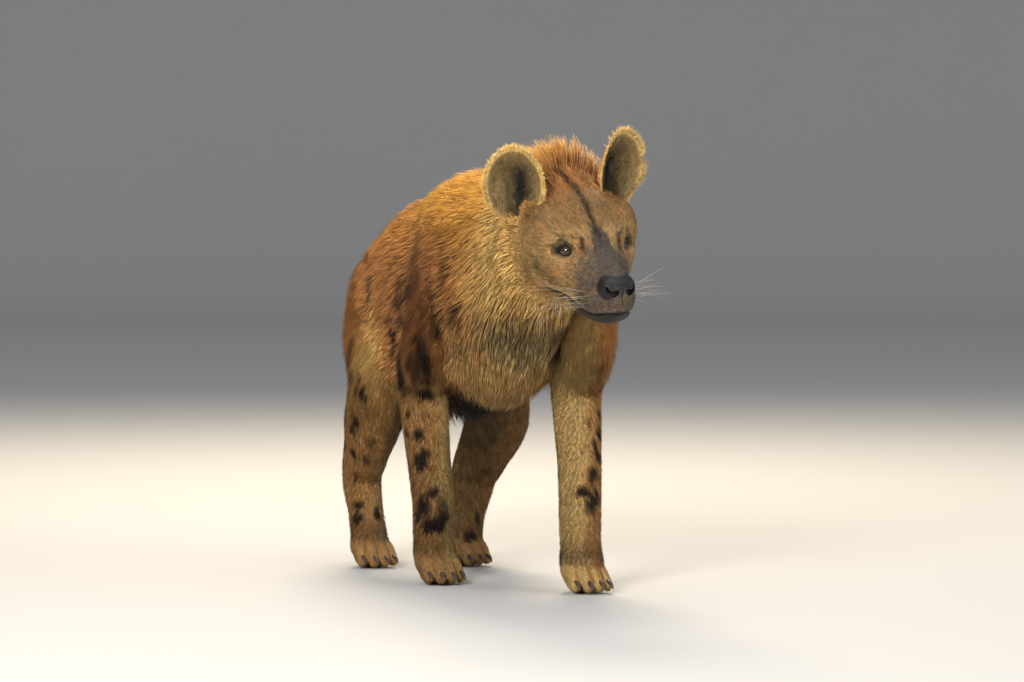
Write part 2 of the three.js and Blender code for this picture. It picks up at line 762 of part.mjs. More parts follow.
const withLocks = (core, locks) =>
  wasm.Manifold.union([core, ...locks.map((lock) => lockSolid(lock))]);

const headLocksGrown = grown(headLocks);
const neckLocksGrown = grown(neckLocks);
const torsoLocksGrown = grown(torsoLocks);
const torso = largest(
  withLocks(torsoLoft(0), torsoLocks).subtract(neckGrown).subtract(neckLocksGrown),
);
const neckPiece = largest(
  withLocks(neckLoft(0), neckLocks)
    .subtract(torsoGrown).subtract(headGrown).subtract(headLocksGrown),
);

const limbs = Object.entries(LIMBS).map(([name, limb]) => {
  const sockets = TOES.map((toe) => clawSolid(limb.paw, toe, GAP));
  const body = withLocks(limbSolid(limb), legLocks(limb))
    .subtract(torsoGrown)
    .subtract(neckGrown)
    .subtract(torsoLocksGrown)
    .subtract(neckLocksGrown)
    .subtract(wasm.Manifold.union(sockets));
  const claws = TOES.map((toe, i) => [`${name}_claw_${i + 1}`, clawSolid(limb.paw, toe)]);
  return { name, body: largest(body), claws };
});

const jawPiece = largest(
  headLoft(0).intersect(jawRegion(-GAP / 2, -LIP_PARTING)).subtract(noseSolid(GAP)),
);
let headPiece = withLocks(headLoft(0), headLocks).subtract(neckGrown);
for (const side of [1, -1]) headPiece = headPiece.add(lidRing(side));
for (const side of [1, -1]) {
  headPiece = headPiece.subtract(lidOpening(side)).subtract(eyeball(side, GAP));
}
headPiece = largest(
  headPiece.subtract(jawRegion(GAP / 2)).subtract(noseSolid(GAP)),
);
const nosePiece = largest(noseSolid());
const ears = [1, -1].map((side) =>
  largest(
    earSolid(side)
      .subtract(headGrown).subtract(neckGrown)
      .subtract(headLocksGrown).subtract(neckLocksGrown),
  ),
);
const tailCore = castLoft({ ...tail, from: 0, to: 1, rings: 8, sides: 8, fan: 2 });
const tailPiece = largest(
  withLocks(tailCore, tailLocks).subtract(torsoGrown).subtract(torsoLocksGrown),
);

// Materials and the scene graph

const material = (color, roughness) => new THREE.MeshStandardMaterial({ color, roughness });
const COAT = material(0xa9743c, 0.85);
const LEG_COAT = material(0x8f6236, 0.85);
const FACE_COAT = material(0x8a6242, 0.8);
const MUZZLE = material(0x2f2a2b, 0.55);
const EAR_COAT = material(0x6d5d45, 0.85);
const TAIL_COAT = material(0x4a3423, 0.85);
const EYE_GLOSS = material(0x1c1310, 0.1);
const CLAW_HORN = material(0x3b322c, 0.45);

function meshOf(name, solid, look) {
  const { numProp, vertProperties, triVerts } = solid.getMesh();
  const geometry = new THREE.BufferGeometry();
  const count = vertProperties.length / numProp;
  const position = new Float32Array(count * 3);
  for (let i = 0; i < count; i++) {
    position.set(vertProperties.subarray(i * numProp, i * numProp + 3), i * 3);
  }
  geometry.setAttribute("position", new THREE.BufferAttribute(position, 3));
  geometry.setIndex(new THREE.BufferAttribute(new Uint32Array(triVerts), 1));
  geometry.computeVertexNormals();
  const mesh = new THREE.Mesh(geometry, look);
  mesh.name = name;
  return mesh;
}

const hyena = new THREE.Group();
hyena.add(meshOf("torso", torso, COAT));
hyena.add(meshOf("neck", neckPiece, COAT));
hyena.add(meshOf("head", headPiece, FACE_COAT));
hyena.add(meshOf("lower_jaw", jawPiece, MUZZLE));
hyena.add(meshOf("nose", nosePiece, MUZZLE));
hyena.add(meshOf("ear_left", ears[0], EAR_COAT));
hyena.add(meshOf("ear_right", ears[1], EAR_COAT));
hyena.add(meshOf("eye_left", eyeball(1), EYE_GLOSS));
hyena.add(meshOf("eye_right", eyeball(-1), EYE_GLOSS));
hyena.add(meshOf("tail", tailPiece, TAIL_COAT));
for (const limb of limbs) {
  hyena.add(meshOf(limb.name, limb.body, LEG_COAT));
  for (const [name, claw] of limb.claws) hyena.add(meshOf(name, claw, CLAW_HORN));
}

// The frame's origin is under the middle of the whole animal.
const bounds = new THREE.Box3().setFromObject(hyena);
const middle = bounds.getCenter(new THREE.Vector3());
hyena.position.set(-middle.x, -middle.y, 0);
hyena.updateMatrixWorld(true);

export default hyena;
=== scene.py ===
"""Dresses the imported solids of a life-size spotted hyena: one skin with its coat, eyes, nose,
claws and whiskers, on a pale studio floor.

Places on the animal are millimetres to its left, forward and up, as in the solids' source.
Arrays of points hold left, back and up, before the frame's own shift."""

import itertools
import json
import math
from types import SimpleNamespace

import bmesh
import bpy
import numpy as np
from bpy.props import FloatProperty, FloatVectorProperty, IntProperty, PointerProperty
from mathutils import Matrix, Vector
from mathutils.kdtree import KDTree

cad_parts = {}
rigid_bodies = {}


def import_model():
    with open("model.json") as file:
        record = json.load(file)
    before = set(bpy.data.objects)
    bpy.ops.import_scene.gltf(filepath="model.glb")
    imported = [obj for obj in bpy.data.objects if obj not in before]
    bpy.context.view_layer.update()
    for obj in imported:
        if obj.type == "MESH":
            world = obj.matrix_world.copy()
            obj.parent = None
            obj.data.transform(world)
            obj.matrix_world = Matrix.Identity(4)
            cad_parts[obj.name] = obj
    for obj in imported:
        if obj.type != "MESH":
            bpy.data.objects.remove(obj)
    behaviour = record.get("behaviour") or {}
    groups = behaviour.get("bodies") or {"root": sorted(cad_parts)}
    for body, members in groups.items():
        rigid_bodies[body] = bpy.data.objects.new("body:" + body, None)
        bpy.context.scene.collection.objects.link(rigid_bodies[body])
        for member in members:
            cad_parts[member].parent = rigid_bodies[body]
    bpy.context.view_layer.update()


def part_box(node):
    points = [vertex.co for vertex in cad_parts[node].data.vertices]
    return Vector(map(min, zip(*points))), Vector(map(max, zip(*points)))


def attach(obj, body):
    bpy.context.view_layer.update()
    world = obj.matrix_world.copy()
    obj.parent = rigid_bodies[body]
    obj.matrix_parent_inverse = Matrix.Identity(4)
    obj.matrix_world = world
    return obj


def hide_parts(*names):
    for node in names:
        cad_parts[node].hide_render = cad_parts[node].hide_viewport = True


bl_info = {
    "name": "Spotted hyena dressing",
    "version": (1, 0, 0),
    "blender": (4, 5, 0),
    "location": "View3D > Sidebar > Hyena",
    "description": "Builds the skin, coat, eyes, nose, claws and whiskers over the solids",
    "category": "Object",
}

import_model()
BODY = "root"
MM = 0.001


# Places on the animal

def at(left, forward, up):
    return np.array([left, -forward, up], float)


def turned(axis, degrees):
    """The matrix that turns points about the x, y or z axis."""
    c, s = math.cos(math.radians(degrees)), math.sin(math.radians(degrees))
    i, j = {"x": (1, 2), "y": (2, 0), "z": (0, 1)}[axis]
    made = np.eye(3)
    made[i, i] = made[j, j] = c
    made[i, j], made[j, i] = -s, s
    return made


HEAD_AT = at(19, 650, 643)  # midpoint between the eyes
SOLID_EYES = at(27, 648, 643.6)  # the same in the solids
HEAD_TURN = turned("z", 4.5) @ turned("x", 17) @ turned("y", -6.5)
EYE = {"ahead": -1, "out": 50, "up": 0, "radius": 16.5, "lid": 2.4}
# The lids' opening, measured over the eyeball from the gaze to its edge.
OPENING = {"inner": 18.0, "outer": 15.4, "over": 11.2, "under": 10.6, "slant": 0.09}
NOSE = {"ahead": 104, "up": -41, "width": 34, "height": 23, "depth": 25}
EAR = {"ahead": -114, "out": 100, "up": 48, "foot": 34, "cup": 28, "wall": 2.6}
EAR_WIDTH = {1: 112, -1: 114}
EAR_HEIGHT = {1: 160, -1: 151}
EAR_OPENS = {1: 0.28, -1: 0.5}  # how far each is turned outward
EAR_RINGS = (56, 72)
EYE_RINGS = (48, 64)
SIDES = {"left": 1, "right": -1}
FACE_FROM = 560  # the nose, eyes and lips lie forward of this
TAIL_DEPTH = 6  # how far the tail's skin lies under its outline


def on_head(ahead, out, up):
    return HEAD_AT + HEAD_TURN @ at(out, ahead, up)


def head_way(ahead, out, up):
    way = HEAD_TURN @ at(out, ahead, up)
    return way / np.linalg.norm(way)


def in_head(points):
    """Ahead, out and up of each point in the head's own frame."""
    local = (points - HEAD_AT) @ HEAD_TURN
    return -local[:, 1], local[:, 0], local[:, 2]


def frame_shift():
    """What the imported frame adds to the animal's own millimetres, read off the eyes."""
    corners = [np.array(corner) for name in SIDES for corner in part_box(f"eye_{name}")]
    return np.mean(corners, axis=0) / MM - SOLID_EYES


SHIFT = frame_shift()


def to_frame(points):
    return (points + SHIFT) * MM


def to_animal(points):
    return points / MM - SHIFT


# Numbers over many points

def mix(a, b, t):
    return a + (b - a) * t


def ramp(low, high, value):
    """Rises smoothly from 0 to 1 as the value goes from low to high."""
    t = np.clip((value - low) / (high - low), 0, 1)
    return t * t * (3 - 2 * t)


def soft_union(a, b, width):
    h = np.maximum(width - np.abs(a - b), 0) / width
    return np.minimum(a, b) - h * h * width / 4


def hump(*terms):
    """1 where every value is at its centre, falling off over its width."""
    return np.exp(-sum(((value - centre) / width) ** 2 for value, centre, width in terms))


def unit(vectors):
    return vectors / np.maximum(np.linalg.norm(vectors, axis=-1, keepdims=True), 1e-9)


def wander(points, size, seed=0):
    """A smooth, repeatable wobble between about -1 and 1."""
    value = np.zeros(len(points))
    draw = np.random.default_rng(seed)
    for _ in range(7):
        way = unit(draw.normal(size=3)) / size * draw.uniform(0.7, 1.5)
        value += np.sin(points @ way * 2 * math.pi + draw.uniform(0, 2 * math.pi))
    return value / 3.2


# The body's own field, negative inside

def smooth_line(points, count):
    """Points along a centripetal Catmull-Rom curve through the given ones."""
    points = np.array(points, float)
    last = len(points) - 1
    made = []
    for share in np.linspace(0, 1, count):
        whole = min(int(share * last), last - 1)
        t = share * last - whole
        p1, p2 = points[whole], points[whole + 1]
        p0 = points[whole - 1] if whole > 0 else 2 * p1 - p2
        p3 = points[whole + 2] if whole + 2 <= last else 2 * p2 - p1
        d0, d1, d2 = (
            max(np.linalg.norm(b - a), 1e-3) ** 0.5 for a, b in ((p0, p1), (p1, p2), (p2, p3))
        )
        t1 = ((p1 - p0) / d0 - (p2 - p0) / (d0 + d1) + (p2 - p1) / d1) * d1
        t2 = ((p2 - p1) / d1 - (p3 - p1) / (d1 + d2) + (p3 - p2) / d2) * d1
        made.append(
            p1 + t1 * t + (-3 * p1 + 3 * p2 - 2 * t1 - t2) * t**2
            + (2 * p1 - 2 * p2 + t1 + t2) * t**3
        )
    return np.array(made)


class Chain:
    """A bent, tapering body through stations of place, radius and side flatness."""

    FAR = 70  # past this from the chain's box its distance is only rough

    def __init__(self, stations, side=(1, 0, 0), steps=5):
        places = [s[0] for s in stations]
        whole = len(stations) - 1
        self.centres = smooth_line(places, whole * steps + 1)
        shares = np.arange(whole * steps + 1) / steps
        lower = np.minimum(shares.astype(int), whole - 1)
        t = shares - lower
        ease = mix(t, t * t * (3 - 2 * t), 0.5)
        radii = np.array([s[1] for s in stations], float)
        flats = np.array([s[2] for s in stations], float)
        self.radii = mix(radii[lower], radii[lower + 1], ease)
        self.flats = mix(flats[lower], flats[lower + 1], ease)
        self.side = np.array(side, float)
        reach = self.radii.max() * max(1, self.flats.max())
        self.low = self.centres.min(0) - reach
        self.high = self.centres.max(0) + reach

    def measure(self, points):
        """Distance to the surface and the share along the chain, for each point."""
        outside = np.maximum(np.maximum(self.low - points, points - self.high), 0)
        rough = np.sqrt((outside**2).sum(1))
        near = rough < self.FAR
        distance = rough + 20.0
        share = np.zeros(len(points))
        p = points[near]
        best = np.full(len(p), np.inf)
        place = np.zeros(len(p))
        for i in range(len(self.centres) - 1):
            start, way = self.centres[i], self.centres[i + 1] - self.centres[i]
            away = p - start
            t = np.clip(away @ way / (way @ way), 0, 1)
            away -= t[:, None] * way
            sideways = away @ self.side
            stretch = sideways / mix(self.flats[i], self.flats[i + 1], t) - sideways
            away += stretch[:, None] * self.side
            here = np.sqrt((away**2).sum(1)) - mix(self.radii[i], self.radii[i + 1], t)
            closer = here < best
            best = np.where(closer, here, best)
            place = np.where(closer, i + t, place)
        distance[near] = best
        share[near] = place / (len(self.centres) - 1)
        return distance, share

    def field(self, points):
        return self.measure(points)[0]


def bulge(points, centre, along, side, up, turn=None):
    """Distance to an ellipsoid with radii along, across and up the given frame."""
    q = points - centre
    if turn is not None:
        q = q @ turn
    radii = np.array([side, along, up], float)
    k0 = np.sqrt(((q / radii) ** 2).sum(1))
    k1 = np.sqrt(((q / radii**2) ** 2).sum(1))
    return k0 * (k0 - 1) / np.maximum(k1, 1e-9)


def stations(*rows):
    """Places, radii and flatness from rows of left, forward, up, radius and flatness."""
    return [(at(*row[:3]), *row[3:]) for row in rows]


TRUNK = Chain(stations(
    (0, -335, 540, 76, 0.96), (0, -275, 535, 114, 0.84), (0, -180, 540, 155, 0.80),
    (0, -60, 543, 194, 0.73), (0, 70, 543, 214, 0.68), (0, 185, 550, 220, 0.645),
))
HEAD_STATIONS = [
    (on_head(ahead, 0, up), radius, flat) for ahead, up, radius, flat in (
        (-150, -2, 95, 0.97), (-105, -8, 92, 1.02), (-65, -14, 88, 1.03), (-28, -28, 79, 1.0),
        (8, -42, 67, 0.93), (38, -52, 58, 0.86), (66, -58, 52, 0.82), (84, -60, 46, 0.83),
    )
]
NECK = Chain(stations(
    (0, 185, 550, 220, 0.645), (0, 290, 586, 182, 0.73), (2, 365, 618, 154, 0.8),
    (5, 435, 646, 128, 0.87),
) + HEAD_STATIONS[:1])
SKULL = Chain(HEAD_STATIONS, side=HEAD_TURN @ np.array([1.0, 0, 0]))
# Ahead, out and up, then radii ahead, out and up, and how softly each joins the head.
HEAD_PAIRS = (
    (-58, 62, -44, 56, 36, 50, 30),  # jaw muscle
    (-58, 74, 22, 50, 34, 46, 34),  # temple
    (-18, 63, -18, 38, 20, 16, 20),  # cheekbone
    (-4, 40, 25, 32, 22, 14, 24),  # brow
    (66, 25, -68, 38, 22, 21, 18),  # whisker pad
    (22, 22, -100, 78, 22, 16, 14),  # side of the lower jaw
    (-112, 66, 40, 28, 25, 27, 30),  # ear base
)
HEAD_MIDLINE = (
    (-84, 0, 50, 54, 50, 34, 34),  # crown
    (70, 0, -14, 40, 18, 12, 18),  # bridge of the nose
    (78, 0, -99, 24, 25, 17, 14),  # chin
)
# The parting of the lips, ahead and up.
MOUTH = ((-12, -76), (8, -84), (36, -91), (62, -96), (86, -95), (112, -86), (150, -78))


# Each paw's middle, left and forward.
PAWS = {
    "foreleg_right": (-88, 138), "foreleg_left": (105, 392),
    "hindleg_right": (-92, -222), "hindleg_left": (88, -185),
}


def foreleg(side, elbow_left, elbow_forward, foot_left, foot_forward):
    def above(t):
        return mix(elbow_left, 74 * side, t)

    def below(t):
        return mix(elbow_left, foot_left, t)

    def onward(t):
        return mix(elbow_forward, foot_forward, t)

    return Chain(stations(
        (above(1), elbow_forward + 16, 668, 56, 0.5),
        (above(0.45), elbow_forward + 52, 600, 74, 0.52),
        (above(0.12), elbow_forward + 74, 515, 76, 0.56),
        (above(0), elbow_forward + 42, 445, 70, 0.62),
        (elbow_left, elbow_forward, 380, 55, 0.74),
        (below(0.22), onward(0.2), 310, 45, 0.88),
        (below(0.5), onward(0.5), 225, 38, 0.94),
        (below(0.8), onward(0.72), 148, 35, 0.98),
        (below(0.95), foot_forward - 14, 88, 31, 1.06),
        (foot_left, foot_forward - 4, 40, 35, 1.08),
    ))


def hindleg(side, knee_left, knee_forward, hock_forward, foot_left, foot_forward):
    def across(t):
        return mix(knee_left, foot_left, t ** (1.8 if side > 0 else 1.1))

    def shank(t):
        return mix(knee_forward, hock_forward, t)

    def foot(t):
        return mix(hock_forward, foot_forward, t)

    return Chain(stations(
        (44 * side, -272, 560, 72, 0.60),
        (59 * side, -266, 510, 92, 0.58),
        (76 * side, mix(-270, knee_forward, 0.4), 445, 94, 0.6),
        (mix(78 * side, knee_left, 0.75), knee_forward - 10, 368, 78, 0.68),
        (across(0.08), shank(0.32), 295, 66, 0.74),
        (across(0.35), shank(0.72), 228, 50, 0.76),
        (across(0.58), hock_forward, 172, 37, 0.86),
        (across(0.8), foot(0.4), 112, 29, 1.0),
        (across(0.95), foot(0.8), 66, 29, 1.08),
        (foot_left, foot_forward - 4, 38, 32, 1.1),
    ))


LEGS = {
    "foreleg_right": foreleg(-1, -112, 125, *PAWS["foreleg_right"]),
    "foreleg_left": foreleg(1, 131, 296, *PAWS["foreleg_left"]),
    "hindleg_right": hindleg(-1, -94, -160, -268, *PAWS["hindleg_right"]),
    "hindleg_left": hindleg(1, 138, -92, -215, *PAWS["hindleg_left"]),
}
# Each toe's place to the left and forward in its paw, and its size.
TOES = ((-27, -8, 0.92), (-9.5, 3, 1.0), (9.5, 3, 1.0), (27, -8, 0.92))
TAIL = Chain(stations(
    (0, -385, 590, 33, 0.9), (2, -442, 548, 25, 0.95), (6, -472, 474, 20, 1),
    (12, -480, 394, 18, 1), (18, -476, 330, 15, 1), (23, -466, 288, 8, 1),
))


def toe_point(paw, toe, forward, up):
    left, ahead = PAWS[paw]
    return at(left + toe[0] * (1 + forward * 0.003), ahead + toe[1] + forward, up)


def toe_chain(paw, toe):
    rows = ((6, 40, 15, 0.85), (30, 34, 15, 0.8), (50, 15, 13.5, 0.85))
    return Chain([
        (toe_point(paw, toe, forward, up), radius * toe[2], flat)
        for forward, up, radius, flat in rows
    ], steps=3)


TOE_CHAINS = {paw: [toe_chain(paw, toe) for toe in TOES] for paw in PAWS}


def gaze_turn(side):
    """The columns across, up and along the gaze of one eye."""
    gaze = head_way(1, 0.36 * side, 0.06)
    across = np.cross(gaze, head_way(0, 0, 1))
    across /= np.linalg.norm(across)
    return np.stack([across, np.cross(across, gaze), gaze], axis=1)


def eye_centre(side):
    return on_head(EYE["ahead"], EYE["out"] * side, EYE["up"])


def mouth_height(ahead):
    return np.interp(ahead, *np.transpose(MOUTH))


# The skin's field, which lies under the coat's outline

# Over how many millimetres each part flows into the rest.
NECK_BLEND, BREAST_BLEND, HEAD_BLEND, LEG_BLEND, TAIL_BLEND, NOSE_BLEND = 40, 50, 30, 26, 20, 9


def coat_depth(points):
    """How far the skin lies under the outline of trunk, neck and head."""
    forward = -points[:, 1]
    ahead = in_head(points)[0]
    depth = mix(17, 22, ramp(-380, -220, forward))
    depth = mix(depth, 7, ramp(430, 540, forward))
    return mix(depth, 1.5, ramp(-100, 40, ahead) * ramp(480, 560, forward))


def head_field(points):
    """The head's outline: a bent core with its muscles, brows, pads and bridge."""
    value = SKULL.field(points)
    near = value < 120
    p = points[near]
    here = value[near]
    mirrored = [(row[0], row[1] * sign, *row[2:]) for row in HEAD_PAIRS for sign in SIDES.values()]
    for ahead, out, up, along, side, high, width in (*mirrored, *HEAD_MIDLINE):
        middle = on_head(ahead, out, up)
        here = soft_union(here, bulge(p, middle, along, side, high, HEAD_TURN), width)
    value[near] = here
    return value


def axial_field(points):
    """The outline of trunk, neck, breast and head."""
    value = soft_union(TRUNK.field(points), NECK.field(points), NECK_BLEND)
    breast = bulge(points, at(0, 225, 405), 125, 112, 68)
    value = soft_union(value, breast, BREAST_BLEND)
    return soft_union(value, head_field(points), HEAD_BLEND)


def nose_field(points):
    """The bare nose: a ball pressed towards a rounded box."""
    ahead, out, up = in_head(points)
    q = np.stack([
        (ahead - NOSE["ahead"] + 2) / (NOSE["depth"] - 2),
        out / (NOSE["width"] - 2),
        (up - NOSE["up"]) / NOSE["height"],
    ])
    return ((np.abs(q) ** 2.6).sum(0) ** (1 / 2.6) - 1) * NOSE["height"]


def leg_fields(points, name):
    """Distance to one leg's skin and the share of the way down it."""
    value, share = LEGS[name].measure(points)
    up = points[:, 2]
    if name.startswith("fore"):
        value = value + mix(9, -3, ramp(560, 330, up)) * ramp(20, 70, up)
    else:
        more = 9 if name.endswith("left") else 2
        value = value + mix(9, -2, ramp(520, 260, up)) * ramp(20, 70, up)
        value = value - more * ramp(330, 270, up) * ramp(80, 150, up)
    for chain in TOE_CHAINS[name]:
        value = soft_union(value, chain.field(points) + 2, 7)
    left, forward = PAWS[name]
    pad = bulge(points, at(left, forward + 6, 16), 27, 31, 18)
    return soft_union(value, pad, 8), share


def skin_field(points):
    """The whole skin but the ears, cut off just over the floor."""
    value = axial_field(points) + coat_depth(points)
    near = -points[:, 1] > FACE_FROM
    p = points[near]
    here = soft_union(value[near], nose_field(p), NOSE_BLEND)
    for side in SIDES.values():
        ball = np.linalg.norm(p - eye_centre(side), axis=1) - EYE["radius"] - EYE["lid"]
        here = soft_union(here, ball, NOSE_BLEND)
    value[near] = here
    for name in LEGS:
        value = soft_union(value, leg_fields(points, name)[0], LEG_BLEND)
    value = soft_union(value, TAIL.field(points) + TAIL_DEPTH, TAIL_BLEND)
    return -soft_union(-value, points[:, 2] - 0.5, 3)


# Meshing

CUBE = np.array(list(itertools.product((0, 1), repeat=3)))
CELL_REACH = 1.55  # a cell is kept while the surface may be within so many of its sides


def lattice_cells(field, low, high, size, halvings):
    """Cells that may touch the surface, found by halving coarse ones."""
    step = size * 2**halvings
    counts = [int(math.ceil((b - a) / step)) for a, b in zip(low, high)]
    cells = np.stack(np.meshgrid(*[np.arange(n) for n in counts], indexing="ij"), -1)
    cells = cells.reshape(-1, 3)
    for level in range(halvings + 1):
        middles = low + (cells + 0.5) * step
        cells = cells[np.abs(field(middles)) < CELL_REACH * step]
        if level < halvings:
            cells = (cells[:, None] * 2 + CUBE).reshape(-1, 3)
            step /= 2
    return cells


def surface_net(field, low, high, size, halvings):
    """A closed triangle mesh of the field's surface, one point for each crossed cell."""
    cells = lattice_cells(field, low, high, size, halvings)
    span = int(cells.max()) + 3

    def key(c):
        return (c[..., 0] * span + c[..., 1]) * span + c[..., 2]

    spots = (cells[:, None] + CUBE).reshape(-1, 3)
    _, first, back = np.unique(key(spots), return_index=True, return_inverse=True)
    values = field(low + spots[first] * size)[back].reshape(-1, 8)
    crossed = (values < 0).any(1) & (values >= 0).any(1)
    cells, values = cells[crossed], values[crossed]
    total = np.zeros((len(cells), 3))
    count = np.zeros(len(cells))
    for a, b in itertools.combinations(range(8), 2):
        if np.abs(CUBE[a] - CUBE[b]).sum() != 1:
            continue
        va, vb = values[:, a], values[:, b]
        cut = (va < 0) != (vb < 0)
        t = np.where(cut, va / np.where(cut, va - vb, 1), 0)[:, None]
        total += np.where(cut[:, None], CUBE[a] + (CUBE[b] - CUBE[a]) * t, 0)
        count += cut
    points = low + (cells + total / count[:, None]) * size
    order = np.argsort(key(cells))
    sorted_keys = key(cells)[order]
    faces = []
    for axis in range(3):
        # The edge from a cell's lowest corner along the axis, and the four cells around it.
        side_b, side_c = (axis + 1) % 3, (axis + 2) % 3
        along = 4 >> axis
        va, vb = values[:, 0], values[:, along]
        cut = np.flatnonzero((va < 0) != (vb < 0))
        ring = []
        for b, c in ((0, 0), (-1, 0), (-1, -1), (0, -1)):
            offset = np.zeros(3, int)
            offset[side_b], offset[side_c] = b, c
            ring.append(order[np.searchsorted(sorted_keys, key(cells[cut] + offset))])
        ring = np.stack(ring, 1)
        outward = va[cut] < 0
        ring[~outward] = ring[~outward][:, ::-1]
        faces += [ring[:, [0, 1, 2]], ring[:, [0, 2, 3]]]
    return points, np.concatenate(faces)


def slope(field, points, step=0.4):
    """The field and its gradient at each point."""
    value = field(points)
    made = np.empty_like(points)
    for axis in range(3):
        moved = points.copy()
        moved[:, axis] += step
        made[:, axis] = (field(moved) - value) / step
    return value, made


def settle(field, points, rounds):
    """Moves the points onto the field's surface."""
    for _ in range(rounds):
        value, way = slope(field, points)
        points = points - (value / np.maximum((way**2).sum(1), 0.1))[:, None] * way
    return points


def edges_of(faces):
    """Each edge once, and where each triangle's three edges are in that list."""
    pairs = np.sort(faces[:, [0, 1, 1, 2, 2, 0]].reshape(-1, 2), axis=1)
    edges, back = np.unique(pairs, axis=0, return_inverse=True)
    return edges, back.reshape(-1, 3)


def refine(points, faces, wanted):
    """Splits each edge that is longer than wanted, and tells how many points there were."""
    edges, places = edges_of(faces)
    middles = points[edges].mean(1)
    lengths = np.linalg.norm(points[edges[:, 0]] - points[edges[:, 1]], axis=1)
    split = lengths > wanted(middles)
    added = np.full(len(edges), -1)
    added[split] = len(points) + np.arange(split.sum())
    new = added[places]
    marks = (new >= 0).sum(1)
    made = [faces[marks == 0]]
    f, n = faces[marks == 3], new[marks == 3]
    for a, b in ((0, 2), (1, 0), (2, 1)):
        made.append(np.stack([f[:, a], n[:, a], n[:, b]], 1))
    made.append(n)
    for first in range(3):
        # Turned so that the first edge is the split one, or the third the whole one.
        turn = [(first + i) % 3 for i in range(3)]
        chosen = (marks == 1) & (new[:, first] >= 0)
        f, n = faces[chosen][:, turn], new[chosen][:, turn]
        made += [
            np.stack([f[:, 0], n[:, 0], f[:, 2]], 1),
            np.stack([n[:, 0], f[:, 1], f[:, 2]], 1),
        ]
        chosen = (marks == 2) & (new[:, (first + 2) % 3] < 0)
        f, n = faces[chosen][:, turn], new[chosen][:, turn]
        made += [
            np.stack([n[:, 0], f[:, 1], n[:, 1]], 1),
            np.stack([f[:, 0], n[:, 0], n[:, 1]], 1),
            np.stack([f[:, 0], n[:, 1], f[:, 2]], 1),
        ]
    return np.concatenate([points, middles[split]]), np.concatenate(made), len(points)


def summed(owners, values, count):
    """The sum, axis by axis, of the values that each owner has."""
    return np.stack([np.bincount(owners, column, count) for column in values.T], 1)


def relax(points, faces, moving):
    """Draws the moving points half the way to the middle of their neighbours."""
    edges, _ = edges_of(faces)
    here, there = np.concatenate([edges, edges[:, ::-1]]).T
    degree = np.bincount(here, minlength=len(points))
    mean = summed(here, points[there], len(points)) / degree[:, None]
    return np.where(moving[:, None], mix(points, mean, 0.5), points)


def point_normals(points, faces):
    corners = points[faces]
    normal = np.cross(corners[:, 1] - corners[:, 0], corners[:, 2] - corners[:, 0])
    return unit(summed(faces.ravel(), np.repeat(normal, 3, axis=0), len(points)))


def search_tree(points):
    """A tree that finds the nearest of the points by its number."""
    tree = KDTree(len(points))
    for number, place in enumerate(points):
        tree.insert(place, number)
    tree.balance()
    return tree


def ball_mesh(rings, turns):
    """A unit ball's points, with its two poles last, and its triangles."""
    theta = np.linspace(0, math.pi, rings + 1)[1:-1]
    phi = np.arange(turns) / turns * 2 * math.pi
    t, f = np.meshgrid(theta, phi, indexing="ij")
    ball = np.stack([np.sin(t) * np.cos(f), np.sin(t) * np.sin(f), np.cos(t)], -1).reshape(-1, 3)
    ball = np.concatenate([ball, [[0, 0, 1], [0, 0, -1]]])
    grid = np.arange((rings - 1) * turns).reshape(rings - 1, turns)
    right = np.roll(grid, -1, axis=1)
    a, b, c, d = grid[:-1], grid[1:], right[1:], right[:-1]
    near, far = np.full(turns, len(ball) - 2), np.full(turns, len(ball) - 1)
    faces = [
        np.stack([a, b, c], -1).reshape(-1, 3), np.stack([a, c, d], -1).reshape(-1, 3),
        np.stack([near, grid[0], right[0]], -1), np.stack([far, right[-1], grid[-1]], -1),
    ]
    return ball, np.concatenate(faces)


def placed(name, data):
    """A new object in the scene."""
    made = bpy.data.objects.new(name, data)
    bpy.context.scene.collection.objects.link(made)
    return made


def mesh_object(name, points, faces):
    """A new smooth object from points in millimetres on the animal."""
    mesh = bpy.data.meshes.new(name)
    mesh.vertices.add(len(points))
    mesh.vertices.foreach_set("co", to_frame(points).astype(np.float32).ravel())
    mesh.loops.add(faces.size)
    mesh.loops.foreach_set("vertex_index", faces.astype(np.int32).ravel())
    mesh.polygons.add(len(faces))
    mesh.polygons.foreach_set("loop_start", np.arange(0, faces.size, 3, dtype=np.int32))
    mesh.polygons.foreach_set("use_smooth", np.full(len(faces), True))
    mesh.update(calc_edges=True)
    return placed(name, mesh)


def mesh_arrays(piece):
    """An object's points, in millimetres on the animal, and its triangles."""
    mesh = piece.data
    points = np.empty(len(mesh.vertices) * 3, np.float32)
    mesh.vertices.foreach_get("co", points)
    mesh.calc_loop_triangles()
    faces = np.empty(len(mesh.loop_triangles) * 3, np.int32)
    mesh.loop_triangles.foreach_get("vertices", faces)
    return to_animal(points.reshape(-1, 3).astype(float)), faces.reshape(-1, 3)


def store(piece, name, values):
    """Keeps a number or vector for each point of a piece's mesh."""
    kind = "FLOAT_VECTOR" if values.ndim == 2 else "FLOAT"
    field = "vector" if values.ndim == 2 else "value"
    layer = piece.data.attributes.new(name, kind, "POINT")
    layer.data.foreach_set(field, values.astype(np.float32).ravel())


# The head's fine shapes

